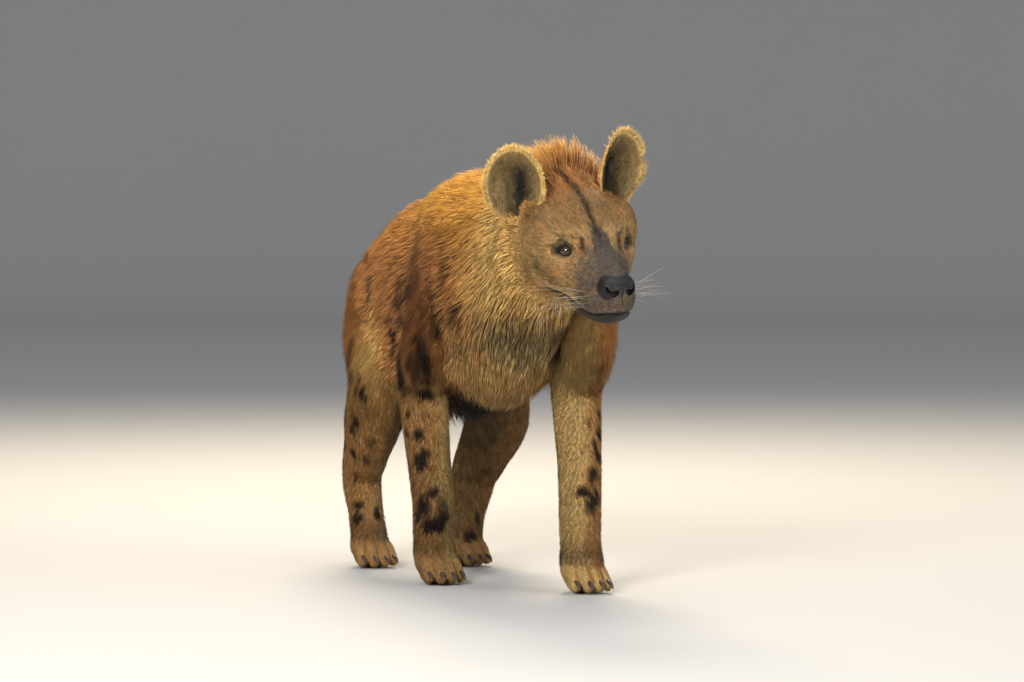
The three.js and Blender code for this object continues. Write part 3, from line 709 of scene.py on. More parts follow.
def lid_level(points, side):
    """0 in the middle of the lids' opening and 1 along its edge, the place in the eye's frame,
    its reach, and how far it lies towards the nose and up."""
    q = (points - eye_centre(side)) @ gaze_turn(side)
    reach = np.linalg.norm(q, axis=1)
    flat = np.maximum(np.hypot(q[:, 0], q[:, 1]), 1e-6)
    u, v = (q[:, :2] / flat[:, None] * (np.arctan2(flat, q[:, 2]) * EYE["radius"])[:, None]).T
    # The gaze frame's first column points to the animal's left: the nose is on the other side.
    inner = -u * side
    height = np.where(v > 0, OPENING["over"], OPENING["under"])
    across = np.where(inner > 0, OPENING["inner"], OPENING["outer"])
    tilted = v + OPENING["slant"] * inner
    level = (np.abs(u) / across) ** 1.75 + (np.abs(tilted) / height) ** 1.9
    return level ** (1 / 1.8), q, reach, inner, v


def path_distance(points, path, widths=None):
    """Distance from a line through the path's places, over the line's width if it has one."""
    path = np.array(path, float)
    widths = np.ones(len(path)) if widths is None else widths
    nearest = np.full(len(points), np.inf)
    for i, way in enumerate(path[1:] - path[:-1]):
        t = np.clip((points - path[i]) @ way / (way @ way), 0, 1)
        distance = np.linalg.norm(points - path[i] - t[:, None] * way, axis=1)
        nearest = np.minimum(nearest, distance / mix(widths[i], widths[i + 1], t))
    return nearest


# One nostril's comma, out and up from the nose's middle, and its half widths.
COMMA = ((10.5, -2.0), (15.0, -4.5), (21.0, -3.0), (25.0, 2.0), (26.0, 7.0))
COMMA_WIDTHS = (4.2, 4.8, 3.6, 2.4, 1.4)


def shape_face(points, normals):
    """Lids, nostrils, the nose's groove, lips and folds, pressed into the head's skin."""
    points = points.copy()
    ahead, out, up = in_head(points)
    above = up - mouth_height(ahead)
    lips = ramp(-24, 4, ahead)
    press = 4.5 * hump((above, 0, 1.7)) * lips
    press -= 2.2 * hump((above, 6.5, 4.5)) * lips
    press -= 1.4 * hump((above, -5.5, 3.2)) * lips
    front = ramp(92, 104, ahead)
    nose_up = up - NOSE["up"]
    comma = path_distance(np.stack([np.abs(out), nose_up], 1), COMMA, COMMA_WIDTHS)
    nostril = (1 - ramp(0.55, 1.15, comma)) * front
    press += 1.9 * hump((out, 0, 1.5)) * ramp(6, -8, nose_up) * front * (1 - ramp(0, 4, -above))
    press -= 0.9 * hump((comma, 1.5, 0.4)) * front
    points -= normals * press[:, None]
    points -= (nostril * 9)[:, None] * head_way(1, 0, 0.25)
    for side in SIDES.values():
        level, q, reach, _, v = lid_level(points, side)
        facing = (q[:, 2] > 0) & (reach < EYE["radius"] + 12)
        lid = mix(-3.0, 1.6, ramp(0.98, 1.1, level)) + 0.9 * hump((level, 1.28, 0.2))
        lid += 0.9 * ramp(0, 6, v) * hump((level, 1.3, 0.25))
        share = (1 - ramp(1.45, 2.1, level)) * facing
        crease = 1.3 * hump((level, 1.85, 0.16)) * facing
        new = mix(reach, EYE["radius"] + lid, share) - crease
        points += (points - eye_centre(side)) * ((new / np.maximum(reach, 1e-6)) - 1)[:, None]
    return points


def wanted_edge(points):
    """How long the skin's edges should be at each point."""
    ahead, _, up = in_head(points)
    on = -points[:, 1] > 470
    length = np.full(len(points), 9.0)
    length = np.where(points[:, 2] < 330, 5.5, length)
    length = np.where(on, mix(7.5, 3.6, ramp(-130, 30, ahead)), length)
    lips = (np.abs(up - mouth_height(ahead)) < 11) & (ahead > -22) & on
    length = np.where(lips, 2.0, length)
    nose = np.linalg.norm(points - on_head(NOSE["ahead"] + 8, 0, NOSE["up"]), axis=1)
    length = np.where(on, np.minimum(length, 1.3 + np.maximum(nose - 34, 0) * 0.12), length)
    for side in SIDES.values():
        eye = np.linalg.norm(points - eye_centre(side) - gaze_turn(side)[:, 2] * 14, axis=1)
        length = np.where(on, np.minimum(length, 1.0 + np.maximum(eye - 22, 0) * 0.16), length)
    return length


def ear_turn(side):
    """The columns across, up along and out of the opening of one ear."""
    opening = head_way(0.86, EAR_OPENS[side] * side, -0.05)
    across = np.cross(head_way(-0.16, -0.03 * side, 0.97), opening)
    across /= np.linalg.norm(across)
    return np.stack([across, np.cross(opening, across), opening], axis=1)


def ear_root(side):
    return on_head(EAR["ahead"], EAR["out"] * side, EAR["up"])


def ear_shell(side):
    """A cupped ear with a rolled rim, ridges inside and a deep opening at its root."""
    ball, faces = ball_mesh(*EAR_RINGS)
    # The ball's poles face along the opening, so rings run round the rim.
    a, u, out = ball.T
    inward = np.hypot(a, u)
    height = (u + 1) / 2
    front = ramp(0, 0.5, out)
    outer = a * side  # 1 at the edge away from the crown
    ridge = 3.0 * hump((outer - 0.42 - 0.25 * (height - 0.3), 0, 0.09))
    ridge += 2.2 * hump((outer, -0.45, 0.08))
    ridge *= ramp(0.75, 0.35, height) * ramp(0.02, 0.15, height)
    canal = 20 * hump((a, 0, 0.36), (height, 0.2, 0.13))
    rim = hump((inward, 0.93, 0.06)) * 1.4
    wall = EAR["wall"] * np.sign(out) * np.sqrt(np.abs(out))
    sheet = wall - ear_cup(inward, height) + 10 * a**2
    notch = 7 * hump((height, 0.62, 0.06)) * ramp(0.55, 1, outer)
    q = np.stack([
        a * (EAR_WIDTH[side] / 2) * ear_waist(height) - np.sign(a) * notch * (side > 0),
        (u + 1) * EAR_HEIGHT[side] / 2 - EAR["foot"],
        sheet + front * (ridge - canal * 0.35 + rim) - (1 - front) * canal * 0.4,
    ], 1)
    return q @ ear_turn(side).T + ear_root(side), faces


def in_ear(points, side):
    """Across, up along and out of the opening, in an ear's own frame."""
    return ((points - ear_root(side)) @ ear_turn(side)).T


def ear_height(y, side):
    """-1 at an ear's foot and 1 at its tip."""
    return (y + EAR["foot"]) / (EAR_HEIGHT[side] / 2) - 1


def ear_sheet(x, u, side):
    """The height of an ear's middle sheet over its plane, and 1 at the rim."""
    height = (u + 1) / 2
    waist = ear_waist(height)
    a = x / (EAR_WIDTH[side] / 2 * waist)
    inward = np.hypot(a, u)
    return 10 * a**2 - ear_cup(inward, height), inward


def ear_waist(height):
    height = np.clip(height, 0, 1)
    return 1 - 0.3 * (1 - height) ** 2.4 - 0.16 * height**4


def ear_cup(inward, height):
    height = np.clip(height, 0, 1)
    return EAR["cup"] * (1 - inward**2) * (0.4 + 0.6 * np.sin(math.pi * height**0.8))


def ear_share(points):
    """How surely each point belongs to an ear, 0 to 1, and which ear it is."""
    best = np.zeros(len(points))
    nearer = np.zeros(len(points))
    for side in SIDES.values():
        x, y, z = in_ear(points, side)
        sheet, inward = ear_sheet(x, ear_height(y, side), side)
        here = ramp(11, 7, np.abs(z - sheet)) * (inward < 1.08) * ramp(-24, -10, y)
        nearer = np.where(here > best, side, nearer)
        best = np.maximum(best, here)
    return best, nearer


SKIN_BOX = (np.array([-190.0, -760.0, -8.0]), np.array([190.0, 545.0, 800.0]))
SKIN_CELL = 6.5
SKIN_HALVINGS = 3


def build_skin_arrays():
    """The skin without its ears, with finer triangles where its shapes are small."""
    points, faces = surface_net(skin_field, *SKIN_BOX, SKIN_CELL, SKIN_HALVINGS)
    points = relax(points, faces, np.ones(len(points), bool))
    moving = (-points[:, 1] > 450) | (points[:, 2] < 80)
    points[moving] = settle(skin_field, points[moving], 1)
    for _ in range(4):
        points, faces, old = refine(points, faces, wanted_edge)
        if len(points) == old:
            break
        fresh = np.arange(len(points)) >= old
        points = relax(points, faces, fresh | (-points[:, 1] > FACE_FROM))
        moving = fresh | (-points[:, 1] > FACE_FROM)
        points[moving] = settle(skin_field, points[moving], 1)
    points[moving] = settle(skin_field, points[moving], 1)
    if (np.bincount(edges_of(faces)[1].ravel()) < 2).any():
        raise RuntimeError("The skin has a hole")
    front = np.flatnonzero(-points[:, 1] > FACE_FROM)
    normals = point_normals(points, faces)
    points[front] = shape_face(points[front], normals[front])
    return points, faces


# Shader sums

class Wire:
    """A node's output that takes part in sums."""

    def __init__(self, graph, socket):
        self.graph = graph
        self.socket = socket

    def __add__(self, other):
        return self.graph.maths("ADD", self, other)

    def __sub__(self, other):
        return self.graph.maths("SUBTRACT", self, other)

    def __rsub__(self, other):
        return self.graph.maths("SUBTRACT", other, self)

    def __mul__(self, other):
        return self.graph.maths("MULTIPLY", self, other)

    __radd__ = __add__
    __rmul__ = __mul__

    def above(self, low, high):
        """0 below low, 1 above high and smooth between."""
        settings = {"interpolation_type": "SMOOTHSTEP"}
        values = {"Value": self, "From Min": low, "From Max": high}
        return self.graph.node("MapRange", settings, values)


class Graph:
    """Builds one material's nodes."""

    def __init__(self, name):
        self.material = bpy.data.materials.new(name)
        self.material.use_nodes = True
        self.tree = self.material.node_tree
        self.tree.nodes.clear()

    def node(self, kind, settings=None, values=None, out=0):
        node = self.tree.nodes.new("ShaderNode" + kind)
        for key, value in (settings or {}).items():
            setattr(node, key, value)
        for key, value in (values or {}).items():
            if isinstance(value, Wire):
                self.tree.links.new(value.socket, node.inputs[key])
            else:
                node.inputs[key].default_value = value
        return Wire(self, node.outputs[out]) if len(node.outputs) else None

    def maths(self, operation, a, b=0.0):
        return self.node("Math", {"operation": operation}, {0: a, 1: b})

    def blend(self, factor, a, b, how="MIX"):
        """Two colours mixed by the factor."""
        settings = {"data_type": "RGBA", "blend_type": how}
        values = {"Factor": factor, 6: a, 7: b}
        return self.node("Mix", settings, values, out=2)

    def shaded(self, colour, light):
        """The colour made darker or lighter by a number."""
        scale = self.node("CombineXYZ", values={0: light, 1: light, 2: light})
        return self.blend(1.0, colour, scale, "MULTIPLY")

    def mark(self, name):
        """The number kept in an attribute."""
        return self.node("Attribute", {"attribute_name": name}, out=2)

    def marks(self, name):
        """The three numbers kept in a vector attribute."""
        vector = self.node("Attribute", {"attribute_name": name}, out=1)
        split = self.node("SeparateXYZ", values={0: vector}).socket.node
        return [Wire(self, socket) for socket in split.outputs]

    def place(self, stretch=(1, 1, 1)):
        """Object coordinates in metres, stretched."""
        spot = self.node("TexCoord", out=3)
        return self.node("Mapping", values={"Vector": spot, "Scale": stretch})

    def noise(self, scale, detail, stretch=(1, 1, 1)):
        values = {"Vector": self.place(stretch), "Scale": scale, "Detail": detail}
        return self.node("TexNoise", values=values)

    def bump(self, height, depth):
        return self.node("Bump", values={"Height": height, "Distance": depth, "Strength": 1.0})

    def finish(self, **values):
        """Closes the material with one shader, its sockets named in small letters."""
        named = {
            key.replace("_", " ").title().replace("Ior", "IOR"): value
            for key, value in values.items()
        }
        shader = self.node("BsdfPrincipled", values=named)
        self.node("OutputMaterial", values={"Surface": shader})
        return self.material


def rgba(colour):
    return (*colour, 1.0)


# Sizes and colours

def colour_setting(name, description, default):
    return FloatVectorProperty(
        name=name, description=description, default=default, size=3, subtype="COLOR", min=0, max=1
    )


class HyenaSettings(bpy.types.PropertyGroup):
    """Sizes and colours of the coat, skin and stage."""

    coat_length: FloatProperty(
        name="Coat length", description="Scale of every tuft's length", default=1.0,
        min=0.2, max=1.5, subtype="FACTOR",
    )
    coat_cover: FloatProperty(
        name="Coat cover", description="Scale of the number of tufts", default=1.0,
        min=0.05, max=1.5, subtype="FACTOR",
    )
    whiskers: IntProperty(
        name="Whiskers", description="Whiskers on each side of the muzzle", default=16, min=0
    )
    rufous: colour_setting("Rufous", "Flanks and thighs", (0.54, 0.235, 0.068))
    # This colour is the mane's gold tone and also paints light: rim light on the tuft tips and top
    # light on fur that faces up.
    gold_and_painted_light: colour_setting("Gold", "Tips of the mane and back", (0.86, 0.46, 0.06))
    rust: colour_setting("Rust", "Shoulders and crown", (0.36, 0.145, 0.048))
    tan: colour_setting("Tan", "Legs and brows", (0.34, 0.185, 0.062))
    pale: colour_setting("Pale", "Ruff and fringes", (0.82, 0.54, 0.18))
    grey: colour_setting("Grey", "Throat and inner legs", (0.27, 0.215, 0.10))
    # Dark also paints shade under the belly, in the neck's folds and on the legs.
    dark: colour_setting("Dark", "Blotches, belly and stripes", (0.018, 0.010, 0.006))
    muzzle: colour_setting("Muzzle", "Muzzle and lids", (0.075, 0.058, 0.044))
    black: colour_setting("Black", "Nose, lips and rims", (0.009, 0.0082, 0.0078))
    floor: colour_setting("Floor", "Floor and backdrop", (0.46, 0.455, 0.445))


def settings():
    return bpy.context.scene.hyena


# Markings, painted shade and light, and the lie of the coat

# Dark lines of the face, ahead, out and up, mirrored, with their width and strength.
FACE_STREAKS = (
    (((-6, 76, 6), (2, 66, 22), (16, 50, 30), (28, 36, 27)), 4.5, 0.7),  # over the eye
    (((28, 36, 27), (33, 34, 8), (34, 36, -8), (34, 38, -26)), 5.5, 0.75),  # tear mark
    (((-4, 70, -20), (14, 56, -24), (30, 42, -20)), 3.5, 0.45),  # under the eye
    (((-40, 92, -20), (-20, 86, -40), (0, 74, -52)), 9, 0.35),  # cheek
)
BROW_ARC = ((-6, 78, 20), (4, 66, 33), (20, 50, 40))

PARTS = ("trunk", "neck", "head", "ears", "tail", *LEGS)
ON_TRUNK, ON_NECK, ON_HEAD, ON_EARS, ON_TAIL, FIRST_LEG = range(6)
FIRST_HIND = FIRST_LEG + 2
FAR_FROM_EYE = 99.0
MASKS = (
    ("marks_a", ("spot", "dark", "pale")),
    ("marks_b", ("gold_and_painted_light", "rust", "grey")),
    ("marks_c", ("tan", "muzzle", "black")),
)
CAMERA_SIDE = np.array([-0.361, -0.931, 0.049])  # the way from the animal to the camera
# The spots seen in the photograph: left, forward and up, half their width and height, and how
# dark they are.
SEEN_SPOTS = (
    (-119, -129, 551, 13, 14, 0.6), (-128, 152, 624, 16, 35, 0.35), (-130, 76, 528, 13, 28, 0.6),
    (-134, 135, 559, 14, 16, 0.6), (-118, 8, 469, 9, 24, 0.8), (-154, 135, 419, 9, 32, 0.8),
    (-127, 267, 517, 8, 18, 1), (-116, 311, 601, 7, 16, 0.6), (-108, 326, 526, 9, 10, 0.6),
    (-143, 225, 469, 9, 16, 0.7), (-138, 223, 438, 9, 14, 0.85), (-151, 191, 435, 13, 16, 0.6),
    (-133, 209, 400, 11, 9, 0.75), (-149, 155, 375, 13, 9, 0.5), (-127, 181, 365, 14, 12, 0.95),
    (-147, 182, 399, 9, 10, 0.5), (-131, 256, 554, 7, 10, 0.4), (-98, 311, 472, 9, 7, 0.35),
    (-114, 259, 452, 11, 5, 0.35), (-128, -197, 451, 11, 16, 0.6), (-134, -197, 422, 9, 14, 0.6),
    (-139, -178, 392, 4, 14, 0.85), (-136, -146, 389, 4, 16, 0.85), (-139, -201, 348, 5, 12, 0.9),
    (-141, -154, 356, 4, 14, 0.7), (-134, -129, 356, 7, 14, 0.9), (-144, -176, 317, 5, 14, 0.7),
    (-140, -163, 292, 9, 12, 0.9), (-142, -182, 272, 7, 9, 0.9), (-116, -151, 248, 7, 9, 0.8),
    (-132, -209, 225, 7, 10, 0.85), (-114, -186, 213, 7, 7, 0.6), (-118, -226, 179, 5, 7, 0.6),
    (-114, -227, 120, 7, 9, 0.8), (-118, -222, 96, 9, 7, 0.9), (-79, -216, 105, 7, 9, 0.9),
    (-125, -125, 306, 5, 9, 0.5), (-146, 147, 320, 5, 7, 0.7), (-124, 172, 319, 7, 5, 0.35),
    (-146, 135, 286, 7, 7, 0.8), (-132, 163, 284, 9, 9, 0.95), (-122, 167, 248, 7, 7, 0.8),
    (-129, 159, 231, 10, 14, 1), (-134, 141, 192, 4, 7, 0.8), (-109, 170, 175, 9, 7, 0.95),
    (-121, 159, 150, 10, 14, 1), (-90, 171, 139, 9, 21, 0.6), (-127, 143, 128, 7, 10, 0.85),
    (-103, 163, 112, 18, 10, 1), (-86, 167, 120, 9, 14, 0.8), (129, 411, 433, 7, 5, 0.6),
    (118, 383, 395, 7, 5, 0.6), (156, 345, 331, 5, 7, 0.8), (133, 363, 314, 4, 5, 0.7),
    (151, 356, 294, 5, 10, 0.95), (137, 371, 268, 6, 14, 0.9), (143, 371, 249, 7, 9, 0.9),
    (127, 386, 219, 7, 10, 0.9), (108, 395, 187, 11, 10, 0.85), (120, 398, 169, 11, 10, 1),
    (134, 389, 186, 5, 10, 0.9), (115, 402, 154, 9, 7, 0.6), (138, 380, 222, 4, 10, 0.5),
    (108, -79, 255, 7, 7, 0.6), (117, -140, 186, 7, 7, 0.5), (113, -169, 97, 7, 9, 0.7),
    (93, -158, 59, 9, 9, 0.8),
)


def streak_cover(points, path, width):
    """1 along a line through the path's places, fading to its sides."""
    return hump((path_distance(points, path), 0, width))


def spot_cover(points, places, sizes, tallness, strengths):
    """How strongly the nearest of the spots covers each point."""
    best = np.zeros(len(points))
    for place, size, tall, strength in zip(places, sizes, tallness, strengths):
        near = (np.abs(points - place) < size * 1.4 * max(1, 1 / tall)).all(1)
        q = (points[near] - place) * (1, 1, tall)
        cover = strength * (1 - ramp(0.7, 1.25, np.linalg.norm(q, axis=1) / size))
        best[near] = np.maximum(best[near], cover)
    return best


def spread_spots(points, chosen, spacing, seed):
    """Spots scattered over the chosen points, none nearer another than the spacing."""
    draw = np.random.default_rng(seed)
    order = draw.permutation(np.flatnonzero(chosen))
    kept = []
    for i in order:
        if not kept or np.linalg.norm(np.array(kept) - points[i], axis=1).min() > spacing:
            kept.append(points[i])
    return np.array(kept).reshape(-1, 3), draw


class Marks(dict):
    """The coat's markings, with its painted shade and light, by name, each from 0 to 1 at every
    point of the skin.
    """

    def add(self, name, value):
        self[name] = np.maximum(self[name], value)

    def put(self, name, chosen, value):
        self[name] = np.where(chosen, value, self[name])


def survey(points, normals):
    """Where each point of the skin lies, which part of the animal it is on, and wobbles."""
    s = SimpleNamespace(points=points, normals=normals)
    s.left, forward, up = points[:, 0], -points[:, 1], points[:, 2]
    ahead, s.out, s.high = in_head(points)
    s.forward, s.up, s.ahead, s.rise = forward, up, ahead, normals[:, 2]
    s.wave, s.fine, s.finer = [wander(points, *kind) for kind in ((150, 3), (42, 5), (14, 7))]
    best = axial_field(points) + coat_depth(points)
    part = np.full(len(points), ON_TRUNK)
    part[forward > 250] = ON_NECK
    part[(forward > 470) & (ahead > -128)] = ON_HEAD
    s.share = np.zeros(len(points))
    s.leg_gap = np.full(len(points), 200.0)
    for number, name in enumerate(LEGS, FIRST_LEG):
        value, along = leg_fields(points, name)
        s.leg_gap = np.minimum(s.leg_gap, value)
        inside = value < best - 1
        part[inside] = number
        best = np.where(inside, value, best)
        s.share = np.where(inside, along, s.share)
    tail, along = TAIL.measure(points)
    on_tail = (tail + TAIL_DEPTH < best - 1) & (forward < -300)
    part[on_tail] = ON_TAIL
    s.share = np.where(on_tail, along, s.share)
    ear, ear_side = ear_share(points)
    part[ear > 0.25] = ON_EARS
    s.on_tail, s.part = on_tail, part
    s.torso, s.face, s.core = part < ON_HEAD, part == ON_HEAD, part <= ON_HEAD
    s.leg, s.hind = part >= FIRST_LEG, part >= FIRST_HIND
    s.foot = s.leg & (up < 60)
    s.chest = ramp(180, 300, forward) * ramp(560, 430, up) * s.core
    s.belly = ramp(420, 350, up) * (forward < 200) * (part == ON_TRUNK)
    s.mane = ramp(0.25, 0.8, s.rise) * ramp(30, 200, forward) * s.core
    s.mane *= ramp(-70, -125, np.where(forward > 430, ahead, -1000))
    s.ears = []
    for side in SIDES.values():
        x, y, z = in_ear(points, side)
        here = (part == ON_EARS) & (ear_side == side)
        s.ears.append((side, here, x, y, z, ear_height(y, side), normals @ ear_turn(side)[:, 2]))
    s.eye_gap = np.full(len(points), FAR_FROM_EYE)
    s.eye_up, s.lids = np.zeros((2, len(points)))
    for side in SIDES.values():
        level, q, reach, inner, v = lid_level(points, side)
        near = (reach < EYE["radius"] + 14) & (q[:, 2] > 0)
        s.eye_gap = np.where(near, np.minimum(s.eye_gap, level), s.eye_gap)
        s.eye_up = np.where(near, v + 0.35 * inner, s.eye_up)
        s.lids = np.where(near, ramp(12.0, 8.0, reach - EYE["radius"]), s.lids)
    front = forward > FACE_FROM
    s.leather = (1 - ramp(1.5, 4.5, nose_field(points))) * ramp(80, 96, ahead) * front
    s.above = s.high - mouth_height(ahead)
    s.lip = ramp(4.5, 2, s.above) * ramp(-22, -15, s.above) * ramp(-34, -20, ahead) * front
    s.crown = hump((ahead, -110, 66), (s.high, 85, 48)) * (forward > 440)
    s.ruff = hump((forward - 462 - 0.3 * (up - 620), 0, 72)) * ramp(490, 560, up)
    s.ruff = s.ruff * ramp(745, 700, up) * s.core
    return s


def comb(s):
    """Which way the coat lies at each point, along the skin."""
    forward, up, ahead = s.forward, s.up, s.ahead
    lie = np.stack([0.05 * s.wave, 0.9 + 0 * up, -0.5 + 0.25 * s.fine * 0.4], 1)
    lie[:, 0] += 0.35 * np.sign(s.left) * ramp(690, 760, up) * (forward < 480)
    neck_side = ramp(300, 420, forward) * ramp(760, 660, up)
    for cover, way in (
        (neck_side * 0.7, (0, 0.75, -0.75)), (s.chest, (0, 0.15, -1.0)), (s.belly, (0, 0.8, -0.6)),
    ):
        lie = mix(lie, np.array(way), cover[:, None])
    from_nose = unit(s.points - on_head(125, 0, -30)) + 0.15 * head_way(-1, 0, 0)
    cheek = ramp(-20, -80, ahead) * ramp(0, -60, s.high)
    from_nose = from_nose + cheek[:, None] * np.array([0, 0.1, -0.5])
    on_head_part = ramp(-175, -110, ahead) * (forward > 430) * s.core
    lie = mix(unit(lie), unit(from_nose), on_head_part[:, None])
    under = s.belly * ramp(-0.1, -0.5, s.rise)
    lie = mix(lie, np.array([0, 0.35, -1.0]), under[:, None])
    down = ramp(0.03, 0.3, s.share)[:, None] * s.leg[:, None]
    lie = mix(lie, np.array([0, 0.22, -1.0]) + 0.12 * s.wave[:, None], down)
    lie = np.where(s.foot[:, None], np.array([0, -0.8, -0.6]), lie)
    last = len(TAIL.centres) - 1
    place = (s.share * last).astype(int)
    middle, after = (TAIL.centres[np.clip(place + step, 0, last)] for step in (0, 1))
    lie = np.where(s.on_tail[:, None], after - middle + 1e-3, lie)
    for side, here, x, y, _, u, _ in s.ears:
        across, along, _ = ear_turn(side).T
        rim = ramp(0.7, 0.9, np.hypot(x / 54, u)) * ramp(0, 25, y)
        fan = along + across * (x / 90)[:, None]
        outward = along * u[:, None] + across * (x / 54)[:, None]
        lie = np.where(here[:, None], mix(fan, outward, rim[:, None]), lie)
    return unit(lie - s.normals * (lie * s.normals).sum(1, keepdims=True))


def coat_sizes(s):
    """The tufts' length, lift off the skin and width, and their share of the usual number."""
    part, face, forward, up, ahead = s.part, s.face, s.forward, s.up, s.ahead
    length = np.select(
        [part == number for number in range(FIRST_LEG)],
        [50 - 8 * ramp(-200, -350, forward), 58, 16, 13, mix(38, 88, ramp(0.1, 0.5, s.share))],
        mix(46, 13, ramp(470, 330, up)),
    )
    length = mix(length, 36, ramp(470, 400, up) * s.torso)
    length = np.where(s.torso, mix(34, length, ramp(0, 60, s.leg_gap)), length)
    length = np.where(s.hind, mix(44, 13, ramp(480, 220, up)), length)
    length = np.where(s.foot, mix(7, 10, ramp(25, 60, up)), length)
    on_face = mix(30, 15, ramp(-125, -70, ahead))
    on_face = mix(on_face, 22, ramp(-10, -60, s.high) * ramp(0, -60, ahead))
    length = np.where(face, mix(on_face, 5, ramp(-15, 55, ahead)), length)
    length = np.where(face & (s.high < -95), mix(length, 9, ramp(20, 60, ahead)), length)
    length = mix(length, mix(62, 86, ramp(400, 500, forward)), s.mane)
    length = mix(length, 58, s.chest * hump((s.left, 0, 55)) * ramp(440, 380, up))
    hang = ramp(-0.2, -0.7, s.rise) * (part == ON_TRUNK) * ramp(-210, -150, forward)
    hang *= ramp(190, 120, forward)
    length = mix(length, 78, hang)
    lift = mix(13.0, mix(24, 46, ramp(400, 500, forward)), s.mane)
    lift = mix(lift, 48, hang)
    lift = np.where(face, 15, lift)
    lift = np.where(part == ON_TAIL, 24, lift)
    lift = np.where(s.leg, mix(22, 15, ramp(60, 300, up)), lift)
    width = mix(np.clip(1.15 + length * 0.024, 1.3, 2.6), 1.8, s.mane)

    for side, _, x, _, z, u, _ in s.ears:
        sheet, inward = ear_sheet(x, u, side)
        over = (part != ON_EARS) * ramp(1.25, 0.95, inward) * ramp(-10, 5, z - sheet)
        length = mix(length, 14, over * ramp(75, 45, z - sheet))
    by_eye = mix(4.5, length, ramp(1.4, 2.6, s.eye_gap))
    length = np.where(s.eye_gap < FAR_FROM_EYE, by_eye, length)
    near_lip = ramp(34, 6, s.above) * ramp(-34, -16, s.above) * ramp(-62, -34, ahead) * face
    length = mix(length, 4, near_lip)
    bare = ((s.eye_gap < 1.28) & (s.lids > 0.5)) | (s.leather > 0.35) | (s.lip > 0.55)
    cover = 1.0 - bare
    for _, here, x, _, _, u, facing in s.ears:
        inward = np.hypot(x / 56, u)
        hollow = here & (facing > 0.1) & (inward < 0.8)
        length, width, lift, cover = (
            np.where(hollow, inside, value)
            for inside, value in ((17, length), (1.0, width), (22, lift), (0.5, cover))
        )
        cover = np.where(here & (inward > 0.8), 1.6, cover)
    return {"length": length, "lift": lift, "width": width, "cover": cover}


def paint_body(s, marks):
    """Gold mane with painted top and rim light, rusty shoulders, pale ruff, grey throat, dark tail,
    dark belly with painted shade, and painted shade in the neck's folds and on the legs.
    """
    forward, up, fine, finer = s.forward, s.up, s.fine, s.finer
    # Gold is stronger where the fur faces up: the mane's own tone with painted top light.
    top = ramp(0.1, 0.75, s.rise)
    marks["gold_and_painted_light"] = s.torso * 0.8 * ramp(560, 740, up + 30 * fine) * (0.4 + 0.6 * top)
    marks.add("gold_and_painted_light", s.mane)
    behind_ear = hump((forward, 395, 90), (up, 690, 70)) * s.core
    marks["gold_and_painted_light"] = np.clip(marks["gold_and_painted_light"] + 0.7 * behind_ear, 0, 1) * (1 - 0.35 * s.crown)
    shoulder = hump((forward, 195, 105), (up, 560, 130))
    marks["rust"] = np.clip(shoulder * (1.1 + 0.5 * fine), 0, 1) * ~s.face
    marks.add("rust", s.crown)
    flank = hump((forward, -120, 55), (up, 440, 85)) * ~s.face
    pale = s.ruff + 0.75 * flank + 0.2 * fine * (s.ruff + flank)
    marks["pale"] = np.clip(pale, 0, 1)
    breast = s.chest * ramp(150, 260, forward)
    marks.add("pale", breast * (0.3 + 0.25 * fine))
    throat = ramp(330, 400, forward) * ramp(560, 510, up) * s.torso
    marks["grey"] = np.clip(throat * 0.75 + breast * (0.22 + 0.3 * finer), 0, 1)
    blotch = ramp(0.0, 0.9, finer + 0.8 * fine) * shoulder * ~s.face
    # Darker where the trunk faces down under the belly: the belly's own darker coat with painted
    # shade.
    under = (s.part == ON_TRUNK) * ramp(0.1, -0.6, s.rise) * ramp(430, 350, up)
    marks["dark"] = np.maximum(under, 0.6 * blotch)
    # Painted shade in the folds low on the right side of the neck.
    folds = hump((s.left, -40, 60), (up, 505, 48)) * ramp(380, 420, forward) * s.torso
    marks.add("dark", 0.5 * folds * (0.8 + 0.5 * finer))
    marks.put("dark", s.part == ON_TAIL, ramp(0.25, 0.6, s.share))
    marks["tan"] = np.maximum(np.where(s.leg, 0.85 * ramp(480, 380, up), 0), 0.8 * breast)
    inner = s.leg * ramp(0.15, -0.5, s.normals[:, 0] * np.sign(s.left) + 0.3 * fine)
    marks["pale"] = mix(marks["pale"], 0.55, inner * ~s.hind)
    marks["grey"] = mix(marks["grey"], 0.4, inner)
    # Painted shade, partly the coat's own darker tone on the inner thighs: the inner hind thighs,
    # the lower right foreleg and the left hind leg are darkened.
    shaded = np.maximum.reduce([
        s.hind * inner * ramp(150, 260, up) * 0.6,
        (s.leg & (s.left < 0) & ~s.hind) * 0.3 * ramp(330, 200, up),
        (s.hind & (s.left > 0)) * 0.45 * ramp(60, 120, up),
    ])
    marks.add("dark", shaded * (0.9 + 0.3 * finer))


